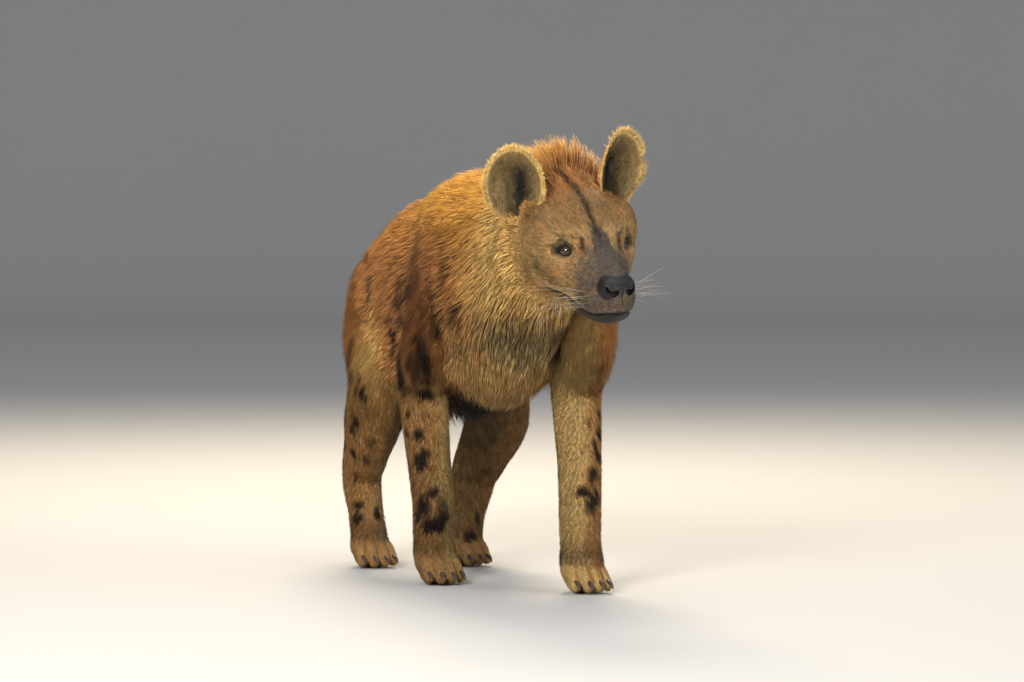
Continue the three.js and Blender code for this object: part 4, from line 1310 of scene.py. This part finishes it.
def paint_face(s, marks):
    """Dark muzzle, forehead stripe, lines round the eyes, lips and leather."""
    face, ahead, out, high = s.face, s.ahead, s.out, s.high
    fine, finer = s.fine, s.finer
    bridge = mix(13, 34, ramp(10, 95, ahead))
    grey_nose = ramp(1.25, 0.8, np.abs(out) / bridge + 0.12 * fine) * ramp(-6, 26, ahead)
    side_nose = ramp(20, 56, ahead) * ramp(-104, -90, high) * (0.9 + 0.1 * finer)
    marks["muzzle"] = face * np.maximum(grey_nose * ramp(-90, -30, high), side_nose)
    marks.put("tan", face, 0.75 + 0.2 * finer)
    marks["tan"] *= 1 - 0.7 * s.crown
    grey = np.clip(0.4 + 0.15 * fine + 0.2 * finer, 0, 1) * ramp(-120, -60, ahead)
    marks.put("grey", face, grey)
    marks["grey"] *= 1 - 0.8 * s.ruff
    marks["grey"] *= 1 - 0.85 * s.crown
    mottle = hump((ahead, -45, 60), (high, 62, 45)) * face
    marks.add("dark", mottle * (0.3 + 0.08 * finer))
    marks.add("rust", 0.45 * mottle)
    stripe = hump((out + 3 * finer, 0, mix(9, 5, ramp(-60, 30, ahead))))
    stripe *= ramp(-128, -108, ahead) * ramp(50, 20, ahead) * (0.75 + 0.25 * finer)
    marks.add("dark", face * np.minimum(stripe * 1.2, 1))
    q = np.stack([ahead, np.abs(out), high], 1)
    for path, thick, strength in FACE_STREAKS:
        streak = streak_cover(q, path, thick * (1 + 0.25 * finer)) * strength * 1.4
        marks.add("dark", face * np.minimum(streak, 0.9))
    marks.add("pale", 0.45 * (streak_cover(q, BROW_ARC, 7) * face))
    upper = ramp(-2, 5, s.eye_up)
    marks.add("pale", 0.5 * (hump((s.eye_gap, 1.42, 0.09)) * (1 - upper)))
    marks.add("dark", 0.7 * upper * ramp(2.0, 1.5, s.eye_gap))
    rims = (1 - ramp(1.2 + 0.15 * upper, 1.42 + 0.2 * upper, s.eye_gap)) * s.lids
    chin = face * ramp(-88, -104, high) * ramp(40, 75, ahead)
    marks["black"] = np.maximum.reduce([rims, s.leather, s.lip * 0.95, chin * 0.8])
    marks["wet"] = np.maximum(s.leather, s.lip * 0.35)


def paint_ears(s, marks):
    """Pale rims, a grey cup and a black hollow."""
    for side, here, x, y, _, u, facing in s.ears:
        inward = np.hypot(x / 54, u)
        hollow = hump((-x * side, 8, 22)) * ramp(0.7, 0.2, u + 0.12 * s.finer)
        cup = ramp(-0.1, 0.4, facing) * ramp(1.02, 0.84, inward)
        edge = ramp(0.78, 0.92, inward) * ramp(-10, 14, y)
        for name, value in {
            "gold_and_painted_light": 0, "rust": 0, "tan": 0.8, "pale": np.maximum(edge, 0.4 * cup),
            "grey": cup * ramp(1.0, 0.85, inward) * 0.6, "muzzle": 0,
            "dark": (0.38 + 0.15 * s.finer) * cup * ramp(0.95, 0.75, inward),
            "black": cup * hollow,
        }.items():
            marks.put(name, here, value)


def paint_spots(s, marks):
    """The spots that the photograph shows, and scattered ones where it shows none."""
    leg, share, rise, up = s.leg, s.share, s.rise, s.up
    finest = np.stack([wander(s.points, 17, seed) for seed in (11, 12, 13)], 1)
    shaken = s.points + 4 * s.fine[:, None] + 3 * finest
    spots = np.array(SEEN_SPOTS, float)
    places, half, strengths = spots[:, :3] * (1, -1, 1), spots[:, 3], spots[:, 5]
    growth = np.where((spots[:, 2] > 400) & (spots[:, 1] > -180), 2.0, 1.45)
    cover = spot_cover(
        shaken, places, half * growth, half / spots[:, 4], np.minimum(1, strengths * 1.3)
    )
    marks["spot"] = cover * ((s.left < 60) | leg)
    seen = s.torso & (s.left < 40) & (s.forward > -260) | leg
    seen &= s.normals @ CAMERA_SIDE > 0.12
    flank = s.torso & (rise < 0.75) & (up > 380) & (s.forward < 420)
    back = (s.part == ON_TRUNK) & (rise >= 0.5) & (s.forward < 100)
    # Where, how far apart, the least and greatest size, how tall and the draw's seed.
    for chosen, spacing, low, big, tall, seed in (
        (flank, 62, 13, 24, 0.85, 67),
        (back, 60, 10, 18, 1.0, 64),
        (s.hind & (share < 0.45), 36, 8, 14, 0.6, 41),
        (s.hind & (share > 0.4) & (up > 60), 33, 7, 12, 0.75, 37),
        (leg & ~s.hind & (share > 0.2) & (up > 60), 38, 8, 14, 0.75, 42),
    ):
        places, draw = spread_spots(s.points, chosen & ~seen, spacing, seed)
        sizes = draw.uniform(low, big, len(places))
        strengths = draw.uniform(0.4, 1.0, len(places))
        tallness = np.full(len(places), tall)
        marks.add("spot", spot_cover(shaken, places, sizes, tallness, strengths))


def describe(points, normals):
    """Part, lie, sizes, markings and painted shade and light of the coat at each point of the skin.
    """
    s = survey(points, normals)
    marks = Marks()
    paint_body(s, marks)
    paint_face(s, marks)
    paint_ears(s, marks)
    paint_spots(s, marks)
    marks.add("dark", hump((s.up, 74, 20)) * s.leg * 0.55)
    return {
        "part": s.part, "share": s.share, "mane": s.mane, "lie": comb(s), **coat_sizes(s), **marks,
    }


# Tufts

def scatter(skin, chosen, density, seed):
    """Places over the chosen triangles, as triangle numbers and weights of their corners."""
    a, b, c = skin["points"][skin["faces"]].transpose(1, 0, 2)
    area = np.linalg.norm(np.cross(b - a, c - a), axis=1) / 2
    draw = np.random.default_rng(seed)
    wanted = area * density * chosen
    counts = np.floor(wanted + draw.random(len(wanted))).astype(int)
    triangles = np.repeat(np.arange(len(wanted)), counts)
    a, b = draw.random((2, len(triangles)))
    flip = a + b > 1
    a, b = np.where(flip, 1 - a, a), np.where(flip, 1 - b, b)
    return triangles, np.stack([1 - a - b, a, b], 1), draw


def carried(skin, key, triangles, weights):
    """A value of the skin at the scattered places."""
    values = skin[key][skin["faces"][triangles]]
    return (values * (weights[:, :, None] if values.ndim == 3 else weights)).sum(1)


LEAST_HEIGHT = 0.3  # no tuft reaches lower over the floor
TUFT_PATCH = 0.0015  # half a tuft's width in the unwrap
TUFT_FLATNESS = 0.4


def tuft_mesh(name, roots, mids, tips, across, up, width, uv):
    """Closed, flat, tapered tufts as one object: rings of three corners, then a tip."""
    angles = np.radians([90, 210, 330])
    ring = across[:, None] * np.cos(angles)[None, :, None]
    ring = ring + up[:, None] * (np.sin(angles)[None, :, None] * TUFT_FLATNESS)
    ring *= (width / 2)[:, None, None]
    layers = [roots[:, None] + ring]
    layers += [place[:, None] + ring * size for place, size in mids]
    layers.append(tips[:, None])
    points = np.concatenate(layers, axis=1)
    points[..., 2] = np.maximum(points[..., 2], LEAST_HEIGHT)
    count = points.shape[1]
    rings = len(layers) - 1
    template = [(2, 1, 0)]
    for start in range(0, 3 * (rings - 1), 3):
        for i in range(3):
            a, b = start + i, start + (i + 1) % 3
            template += [(a, b, b + 3), (a, b + 3, a + 3)]
    last = 3 * (rings - 1)
    template += [(last + i, last + (i + 1) % 3, count - 1) for i in range(3)]
    faces = ((np.arange(len(roots)) * count)[:, None, None] + np.array(template)).reshape(-1, 3)
    made = mesh_object(name, points.reshape(-1, 3), faces)
    along = np.append(np.repeat(np.linspace(0, 1, len(layers))[:-1], 3), 1.0)
    store(made, "along", np.tile(along, len(roots)))
    corners = np.tile(np.stack([np.cos(angles), np.sin(angles)], 1), (rings + 1, 1))[:count]
    patch = corners * (TUFT_PATCH * (1 - along))[:, None]
    spots = (uv[:, None] + patch).reshape(-1, 2)
    layer = made.data.uv_layers.new(name="OFBake")
    layer.data.foreach_set("uv", spots[faces.ravel()].astype(np.float32).ravel())
    return made, count


def unwrap(part, points, share):
    """Each root's place on an unwrap of its part: along it, and round it."""
    name = PARTS[part]
    if name == "ears":
        _, side = ear_share(points)
        u, v = np.zeros((2, len(points)))
        for sign in SIDES.values():
            here = side == sign
            x, y, _ = in_ear(points[here], sign)
            u[here] = ((x + 60) / 125 + (sign > 0)) / 2
            v[here] = (y + 25) / 160
        return np.clip(np.stack([u, v], 1), 0, 1) * 0.98 + 0.01
    if name == "head":
        ahead, out, high = in_head(points)
        u, around = (ahead + 160) / 300, (out, high + 25)
    elif name in LEGS or name == "tail":
        centres = (TAIL if name == "tail" else LEGS[name]).centres
        last = len(centres) - 1
        away = points - centres[np.clip((share * last).round().astype(int), 0, last)]
        u, around = share, (away[:, 0], away[:, 1])
    else:
        u, around = (-points[:, 1] + 430) / 1000, (points[:, 0], points[:, 2] - 560)
    v = np.arctan2(*around) / (2 * math.pi) + 0.5
    return np.clip(np.stack([u, v], 1), 0, 1) * 0.98 + 0.01


CLUMP_PULL = 0.5  # how far the tips are drawn to their clump's
CLUMP_SIZE = 9  # tufts in a clump
# How far along each tuft its rings lie, their bow off the skin and their size, for 0 to 2 bends.
BENDS = ((), ((0.5, 1.0, 0.8),), ((0.36, 0.9, 0.9), (0.7, 0.8, 0.6)))


def grow_coat(name, skin, chosen, density, seed, bends):
    """Tufts over part of the skin, lying along it and drawn together at their tips."""
    scene = settings()
    triangles, weights, draw = scatter(skin, chosen, density * scene.coat_cover, seed)
    places, normal, lie, long, lift, width, share = (
        carried(skin, key, triangles, weights)
        for key in ("points", "normals", "lie", "length", "lift", "width", "share")
    )
    n = len(triangles)
    normal = unit(normal)
    lie = unit(lie - normal * (lie * normal).sum(1, keepdims=True))
    across = np.cross(normal, lie)
    length = long * draw.uniform(0.7, 1.15, n) * scene.coat_length
    lift = np.radians(lift + draw.normal(0, 4, n)).clip(0.03, 1.3)
    veer = draw.normal(0, 0.13, n) + 0.22 * wander(places, 38, seed)
    heading = unit(lie + across * veer[:, None])
    roots = places - normal * np.minimum(1.2, long * 0.06)[:, None]
    rise, run = np.sin(lift), np.cos(lift)
    tips = roots + heading * (run * length)[:, None] + normal * (rise * length)[:, None]
    tips[:, 2] -= 0.1 * length * rise
    groups = max(n // CLUMP_SIZE, 1)
    centres = draw.choice(n, groups, replace=False)
    tree = search_tree(places[centres])
    group = np.array([tree.find(place)[1] for place in places])
    owner = centres[group]
    pull = (CLUMP_PULL * draw.uniform(0.5, 1.1, n))[:, None]
    together = tips[owner] + (roots - roots[owner]) * 0.25
    apart = np.linalg.norm(together - tips, axis=1) < length * 0.6
    tips = np.where(apart[:, None], mix(tips, together, pull), tips)
    bow = normal * (length * rise * 0.2)[:, None]
    mids = [(mix(roots, tips, along) + bow * high, size) for along, high, size in BENDS[bends]]
    part = int(np.median(skin["part"][skin["faces"][triangles, 0]]))
    made, count = tuft_mesh(
        name, roots, mids, tips, across, normal, width * draw.uniform(0.75, 1.2, n),
        unwrap(part, places, share),
    )
    for vector, keys in MASKS:
        values = np.stack([carried(skin, key, triangles, weights) for key in keys], 1)
        store(made, vector, np.repeat(values, count, axis=0))
    own = draw.random(n)
    shade = 0.6 * own + 0.4 * draw.random(groups)[np.searchsorted(np.sort(centres), owner)]
    store(made, "shade", np.repeat(shade, count))
    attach(made, BODY)
    return made


CLIMB_LIMITS = (-9, 45)  # degrees that the skin's own rise may add to a tuft's lift
LIFT_LIMITS = (4, 75)


def surface_climb(points, normals, lie, length):
    """How steeply, in degrees, the skin rises or falls away along each place's tuft."""
    tree = search_tree(points)
    run = length * 0.8
    landed = points[[tree.find(place)[1] for place in points + lie * run[:, None]]]
    climb = ((landed - points) * normals).sum(1)
    return np.degrees(np.arctan2(climb, run))


def skin_arrays():
    """The skin's points, triangles, normals and what it keeps for the coat."""
    piece = bpy.data.objects.get("skin")
    if piece is None:
        raise RuntimeError("The skin has to be built before its coat")
    points, faces = mesh_arrays(piece)
    normals = point_normals(points, faces)
    made = {"points": points, "faces": faces, "normals": normals, **describe(points, normals)}
    climb = surface_climb(points, normals, made["lie"], made["length"])
    made["lift"] = np.clip(made["lift"] + np.clip(climb, *CLIMB_LIMITS), *LIFT_LIMITS)
    return made


SHARED = {}


def shared_skin():
    """What the skin keeps for the coat, worked out once."""
    if "skin" not in SHARED:
        SHARED["skin"] = skin_arrays()
    return SHARED["skin"]


# Materials

def coat_colour(graph, tips=1.0):
    """The coat's named colours laid over each other by its markings, painted shade and painted
    light.
    """
    named = settings()
    spot, dark, pale = graph.marks("marks_a")
    gold_and_painted_light, rust, grey = graph.marks("marks_b")
    tan, muzzle, black = graph.marks("marks_c")
    colour = rgba(named.rufous)
    for mask, paint in (
        (tan, named.tan), (rust, named.rust), (gold_and_painted_light * tips, named.gold_and_painted_light), (pale, named.pale),
        (grey, named.grey), (muzzle, named.muzzle), (dark, named.dark), (spot, named.dark),
        (black, named.black),
    ):
        colour = graph.blend(mask, colour, rgba(paint))
    return colour


def coat_material():
    """Tufts: painted shade at the root and painted light at the tip, each with its own random tone.
    """
    graph = Graph("coat_surface")
    along, shade = graph.mark("along"), graph.mark("shade")
    # Gold grows towards each tuft's tip, which paints rim light over the mane's gold tone.
    colour = coat_colour(graph, along * along * 1.3)
    patchy = graph.noise(38, 2)
    brindle = graph.noise(190, 2)
    # The along term paints shade at each tuft's root and light at its tip; shade, patchy and
    # brindle only vary the tone at random.
    light = 0.25 + along * 0.5 + shade * 0.8 + (patchy - 0.5) * 0.6 + (brindle - 0.5) * 0.7
    return graph.finish(
        base_color=graph.shaded(colour, light), roughness=0.62, specular_ior_level=0.2,
        normal=graph.bump(graph.noise(900, 1), 0.0004),
    )


def skin_material():
    """Short fur and bare leather: satin nose and lips, dull skin elsewhere."""
    graph = Graph("skin_surface")
    black = graph.marks("marks_c")[2]
    patchy = graph.noise(60, 4)
    brindle = graph.noise(260, 3, (1, 0.4, 1))
    colour = graph.shaded(coat_colour(graph), 0.3 + patchy * 0.5 + brindle * 0.5)
    leather = graph.node("TexVoronoi", values={"Vector": graph.place(), "Scale": 700})
    fur = graph.noise(420, 3, (1, 0.35, 1))
    height = fur * (1 - black) + leather * black * 0.6
    return graph.finish(
        base_color=colour, roughness=0.8 - graph.mark("wet") * 0.5, specular_ior_level=0.3,
        normal=graph.bump(height, 0.0011),
    )


def eye_material():
    """A wet dark eye: pupil, iris, the iris's dark edge and a little white."""
    graph = Graph("eye_surface")
    reach = graph.mark("reach")
    iris = graph.blend(graph.noise(500, 3), rgba((0.02, 0.009, 0.004)), rgba((0.065, 0.029, 0.012)))
    colour = graph.blend(reach.above(5.0, 5.8), rgba((0.002, 0.002, 0.002)), iris)
    colour = graph.blend(reach.above(12.2, 13.2), colour, rgba((0.006, 0.004, 0.003)))
    colour = graph.blend(reach.above(14.2, 15.6), colour, rgba((0.06, 0.035, 0.025)))
    return graph.finish(
        base_color=colour, roughness=0.08, coat_weight=1.0, coat_roughness=0.02, ior=1.4,
    )


def horn_material():
    graph = Graph("claw_surface")
    grain = graph.noise(120, 4, (4, 4, 0.6))
    colour = graph.blend(grain, rgba((0.012, 0.009, 0.007)), rgba((0.075, 0.055, 0.04)))
    return graph.finish(
        base_color=colour, roughness=0.35 + grain * 0.2, normal=graph.bump(grain, 0.0004),
    )


def whisker_material():
    graph = Graph("whisker_surface")
    along = graph.mark("along")
    wave = graph.noise(90, 2)
    root, tip = rgba((0.3, 0.24, 0.16)), rgba((0.7, 0.62, 0.48))
    colour = graph.blend(along * 0.6 + wave * 0.3, root, tip)
    return graph.finish(base_color=colour, roughness=0.4)


def stage_material():
    graph = Graph("stage_surface")
    tint = graph.noise(1.5, 2)
    floor = settings().floor
    colour = graph.blend(tint * 0.25, rgba(floor), rgba([c * 0.93 for c in floor]))
    return graph.finish(base_color=colour, roughness=0.9)


def tube(path, radii, sides):
    """A closed tapered tube along points, with a point at its end."""
    path = np.array(path, float)
    way = unit(np.gradient(path, axis=0))
    side = unit(np.cross(way, np.array([0.3, 0.2, 1.0])))
    up = np.cross(side, way)
    angles = np.arange(sides) / sides * 2 * math.pi
    ring = side[:, None] * np.cos(angles)[None, :, None]
    ring = ring + up[:, None] * np.sin(angles)[None, :, None]
    points = (path[:, None] + ring * np.array(radii)[:, None, None])[:-1].reshape(-1, 3)
    points = np.concatenate([points, path[-1:], path[:1]])
    last = (len(path) - 2) * sides
    tip, root = last + sides, last + sides + 1
    faces = []
    for i in range(sides):
        j = (i + 1) % sides
        for row in range(0, last, sides):
            a, b = row + i, row + j
            faces += [(a, a + sides, b + sides), (a, b + sides, b)]
        faces += [(last + i, tip, last + j), (i, j, root)]
    return points, np.array(faces)


def joined(parts):
    """Several meshes as one."""
    starts = np.cumsum([0] + [len(points) for points, _ in parts])
    faces = [faces + start for (_, faces), start in zip(parts, starts)]
    return np.concatenate([points for points, _ in parts]), np.concatenate(faces)


# Operators

CLAW_RADIUS = 4.6
WHISKER_RADIUS = 0.27
LEAST_EAR_POINTS = 4000  # the union with both ears adds at least so many points


class HYENA_OT_skin(bpy.types.Operator):
    """Build the one skin of body, head, ears, legs and tail"""

    bl_idname = "hyena.skin"
    bl_label = "Skin"

    def execute(self, context):
        points, faces = build_skin_arrays()
        piece = mesh_object("skin", points, faces)
        for name, side in SIDES.items():
            shell = mesh_object(f"shell_{name}", *ear_shell(side))
            union = piece.modifiers.new("union", "BOOLEAN")
            union.operation = "UNION"
            union.solver = "MANIFOLD"
            union.object = shell
        context.view_layer.update()
        joined_mesh = bpy.data.meshes.new_from_object(
            piece.evaluated_get(context.evaluated_depsgraph_get())
        )
        if len(joined_mesh.vertices) < len(points) + LEAST_EAR_POINTS:
            raise RuntimeError("The ears didn't join the skin")
        piece.modifiers.clear()
        old, piece.data = piece.data, joined_mesh
        bpy.data.meshes.remove(old)
        for name in SIDES:
            bpy.data.objects.remove(bpy.data.objects[f"shell_{name}"])
        joined_mesh.materials.clear()
        joined_mesh.materials.append(skin_material())
        joined_mesh.shade_smooth()
        SHARED.clear()
        skin = shared_skin()
        for vector, keys in MASKS:
            store(piece, vector, np.stack([skin[key] for key in keys], 1))
        store(piece, "wet", skin["wet"])
        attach(piece, BODY)
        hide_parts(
            "torso", "neck", "head", "lower_jaw", "nose", "ear_left", "ear_right", "tail",
            *LEGS,
        )
        return {"FINISHED"}


class HYENA_OT_eyes(bpy.types.Operator):
    """Build the two wet eyes behind their lids"""

    bl_idname = "hyena.eyes"
    bl_label = "Eyes"

    def execute(self, context):
        for name, side in SIDES.items():
            ball, faces = ball_mesh(*EYE_RINGS)
            ahead = ball[:, 2] > 0
            reach = np.hypot(ball[:, 0], ball[:, 1]) * EYE["radius"]
            bulged = EYE["radius"] - 0.3 + 1.1 * ramp(10.5, 5, reach) * ahead
            reach = np.where(ahead, reach, EYE["radius"])
            points = (ball * bulged[:, None]) @ gaze_turn(side).T + eye_centre(side)
            # The gaze's frame is left-handed, so the triangles turn the other way round.
            piece = mesh_object(f"eyeball_{name}", points, faces[:, ::-1])
            store(piece, "reach", reach)
            piece.data.materials.append(eye_material())
            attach(piece, BODY)
            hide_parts(f"eye_{name}")
        return {"FINISHED"}


class HYENA_OT_claws(bpy.types.Operator):
    """Build the blunt dark claws"""

    bl_idname = "hyena.claws"
    bl_label = "Claws"

    def execute(self, context):
        horn = horn_material()
        radii = CLAW_RADIUS * (1 - np.linspace(0, 1, 9) ** 1.6 * 0.8)
        for paw in PAWS:
            for i, toe in enumerate(TOES):
                bends = [toe_point(paw, toe, *place) for place in ((50, 23), (66, 19), (76, 9))]
                path = smooth_line(bends, 9)
                piece = mesh_object(f"{paw}_horn_{i + 1}", *tube(path, radii, 12))
                piece.data.materials.append(horn)
                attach(piece, BODY)
                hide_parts(f"{paw}_claw_{i + 1}")
        return {"FINISHED"}


class HYENA_OT_whiskers(bpy.types.Operator):
    """Build the long pale whiskers"""

    bl_idname = "hyena.whiskers"
    bl_label = "Whiskers"

    def execute(self, context):
        skin = shared_skin()
        near = np.flatnonzero(skin["part"] == ON_HEAD)
        tree = search_tree(skin["points"][near])
        draw = np.random.default_rng(21)
        parts = []
        share = np.linspace(0, 1, 8)
        t = share[:, None]
        for side in SIDES.values():
            for i in range(settings().whiskers):
                row, place = i % 4, i // 4
                ahead = 88 - place * 10 - row * 2.5 + draw.normal(0, 2)
                up = -56 - row * 8.5 + draw.normal(0, 1.5)
                root = near[tree.find(on_head(ahead, 46 * side, up))[1]]
                normal = skin["normals"][root]
                long = draw.uniform(55, 105) * (0.75 + 0.3 * (place < 5))
                way = normal * 0.8 + head_way(-0.35, 0.6 * side, 0.1) + draw.normal(0, 0.3, 3)
                bend = head_way(-0.75, 0.1 * side, -0.75) * draw.uniform(0.25, 0.6)
                path = skin["points"][root] - normal + (unit(way) * t + bend * t**2) * long
                parts.append(tube(path, WHISKER_RADIUS * (1 - share * 0.85), 4))
        piece = mesh_object("whiskers", *joined(parts))
        along = np.concatenate([np.repeat(share[:-1], 4), [1, 0]])
        store(piece, "along", np.tile(along, len(parts)))
        piece.data.materials.append(whisker_material())
        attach(piece, BODY)
        return {"FINISHED"}


# Tufts for each square millimetre of skin, their bends and the slot.
COATS = {
    "coat_back": (0.037, 1, "body_coat"),
    "coat_flank_left": (0.034, 1, "body_coat"),
    "coat_flank_right": (0.034, 1, "body_coat"),
    "coat_neck_left": (0.05, 1, "body_coat"),
    "coat_neck_right": (0.05, 1, "body_coat"),
    "coat_mane": (0.105, 2, "body_coat"),
    "coat_head_left": (0.16, 1, "face_coat"),
    "coat_head_right": (0.16, 1, "face_coat"),
    "coat_ears": (0.20, 0, "ear_coat"),
    "coat_tail": (0.05, 2, "tail_coat"),
    **{f"coat_{name}": (0.22, 0, "leg_coat") for name in LEGS},
}
MOST_TRIANGLES = 200000  # in one piece
COAT_SEED = 40


def coat_regions(skin):
    """Which triangles each named coat piece grows on."""
    first = skin["faces"][:, 0]
    part, mane = skin["part"][first], skin["mane"][first] > 0.35
    middle = skin["points"][skin["faces"]].mean(1)
    left, up, out = middle[:, 0] > 0, middle[:, 2], in_head(middle)[1] > 0
    trunk, neck, head = (part == ON_TRUNK) & ~mane, (part == ON_NECK) & ~mane, part == ON_HEAD
    made = {
        "coat_mane": (part < ON_HEAD) & mane,
        "coat_back": trunk & (up > 640),
        "coat_flank_left": trunk & (up <= 640) & left,
        "coat_flank_right": trunk & (up <= 640) & ~left,
        "coat_neck_left": neck & left,
        "coat_neck_right": neck & ~left,
        "coat_head_left": head & out,
        "coat_head_right": head & ~out,
        "coat_ears": part == ON_EARS,
        "coat_tail": part == ON_TAIL,
    }
    for number, name in enumerate(LEGS, FIRST_LEG):
        made[f"coat_{name}"] = part == number
    return made


class HYENA_OT_coat(bpy.types.Operator):
    """Grow the tufts of the whole coat, piece by piece"""

    bl_idname = "hyena.coat"
    bl_label = "Coat"

    def execute(self, context):
        skin = shared_skin()
        cover = skin["cover"][skin["faces"]].min(1)
        material = coat_material()
        for seed, (name, chosen) in enumerate(coat_regions(skin).items(), COAT_SEED):
            if not chosen.any():
                raise RuntimeError(f"No skin for {name}")
            density, bends, slot = COATS[name]
            piece = grow_coat(name, skin, chosen * cover, density, seed, bends)
            if len(piece.data.polygons) > MOST_TRIANGLES:
                raise RuntimeError(f"{name} has too many triangles")
            piece.data.materials.append(material)
        return {"FINISHED"}


CAMERA_TARGET = Vector((-0.0355, -0.2362, 0.4631))
CAMERA_AZIMUTH = math.radians(-21.18)
CAMERA_ELEVATION = math.radians(2.78)
CAMERA_DISTANCE = 9.0
CAMERA_LENS = 172.67
CAMERA_SENSOR = 36
LIGHT_TARGET = Vector((0, 0, 0.45))
# Name, place, size, power and tint.
LIGHTS = (
    ("key", (-3.0, -3.6, 2.5), 1.6, 300, (1.0, 0.97, 0.92)),
    ("fill", (3.4, -3.6, 1.5), 2.6, 120, (0.95, 0.97, 1.0)),
    ("rim", (0.9, 3.0, 3.4), 1.6, 240, (1.0, 0.85, 0.62)),
    ("top", (0.0, 0.3, 4.2), 2.5, 55, (1.0, 0.96, 0.9)),
)
SKY = {"Color": (0.9, 0.93, 1.0, 1), "Strength": 0.5}
FLOOR_RINGS = (0.02, 2.0, 5.0, 8.0, 11.0)  # radii of the flat floor's rings
FLOOR_BEND = 2.5  # radius of the curve from the floor up to the wall
WALL_TOP = 7.0


def looking(way):
    """The turn that faces a lamp or camera along the reverse of the way."""
    return way.to_track_quat("Z", "Y").to_euler()


class HYENA_OT_stage(bpy.types.Operator):
    """Set up the floor, the lights and the camera"""

    bl_idname = "hyena.stage"
    bl_label = "Stage"

    def execute(self, context):
        scene = context.scene
        level = math.cos(CAMERA_ELEVATION)
        back = Vector((
            math.sin(CAMERA_AZIMUTH) * level, -math.cos(CAMERA_AZIMUTH) * level,
            math.sin(CAMERA_ELEVATION),
        ))
        data = bpy.data.cameras.new("camera")
        data.lens = CAMERA_LENS
        data.sensor_width = CAMERA_SENSOR
        data.clip_end = 60
        camera = placed("camera", data)
        camera.location = CAMERA_TARGET + back * CAMERA_DISTANCE
        camera.rotation_euler = looking(back)
        scene.camera = camera
        scene.view_settings.view_transform = "Standard"
        self.floor()
        for name, place, size, power, tint in LIGHTS:
            light = bpy.data.lights.new(name, "AREA")
            light.size = size
            light.energy = power
            light.color = tint
            lamp = placed(name, light)
            lamp.location = place
            lamp.rotation_euler = looking(Vector(place) - LIGHT_TARGET)
        world = bpy.data.worlds.new("world")
        world.use_nodes = True
        for key, value in SKY.items():
            world.node_tree.nodes["Background"].inputs[key].default_value = value
        scene.world = world
        return {"FINISHED"}

    def floor(self):
        """A round floor that curves up on all sides, far outside every view's camera."""
        profile = [(radius, 0.0) for radius in FLOOR_RINGS]
        edge = FLOOR_RINGS[-1]
        for angle in np.linspace(0, math.pi / 2, 13)[1:]:
            rise = FLOOR_BEND - FLOOR_BEND * math.cos(angle)
            profile.append((edge + FLOOR_BEND * math.sin(angle), rise))
        profile.append((edge + FLOOR_BEND, WALL_TOP))
        turns = np.arange(96) / 96 * 2 * math.pi
        mesh = bmesh.new()
        rows = [
            [mesh.verts.new((r * math.cos(turn), r * math.sin(turn), z)) for turn in turns]
            for r, z in profile
        ]
        for a, b in zip(rows, rows[1:]):
            for i in range(len(turns)):
                mesh.faces.new((a[i - 1], b[i - 1], b[i], a[i]))
        mesh.faces.new(rows[0])
        data = bpy.data.meshes.new("studio")
        mesh.to_mesh(data)
        mesh.free()
        data.shade_smooth()
        data.materials.append(stage_material())
        studio = placed("studio", data)


class HYENA_PT_panel(bpy.types.Panel):
    """Lists the steps that dress the animal"""

    bl_label = "Hyena"
    bl_idname = "HYENA_PT_panel"
    bl_space_type = "VIEW_3D"
    bl_region_type = "UI"
    bl_category = "Hyena"

    def draw(self, context):
        for operator in OPERATORS:
            self.layout.operator(operator.bl_idname)


OPERATORS = (
    HYENA_OT_stage, HYENA_OT_skin, HYENA_OT_eyes, HYENA_OT_claws, HYENA_OT_whiskers,
    HYENA_OT_coat,
)
CLASSES = (HyenaSettings, *OPERATORS, HYENA_PT_panel)


def register():
    for made in CLASSES:
        bpy.utils.register_class(made)
    bpy.types.Scene.hyena = PointerProperty(type=HyenaSettings)


def unregister():
    del bpy.types.Scene.hyena
    for made in reversed(CLASSES):
        bpy.utils.unregister_class(made)


def main():
    register()
    for operator in OPERATORS:
        group, name = operator.bl_idname.split(".")
        getattr(getattr(bpy.ops, group), name)()


if __name__ == "__main__":
    main()
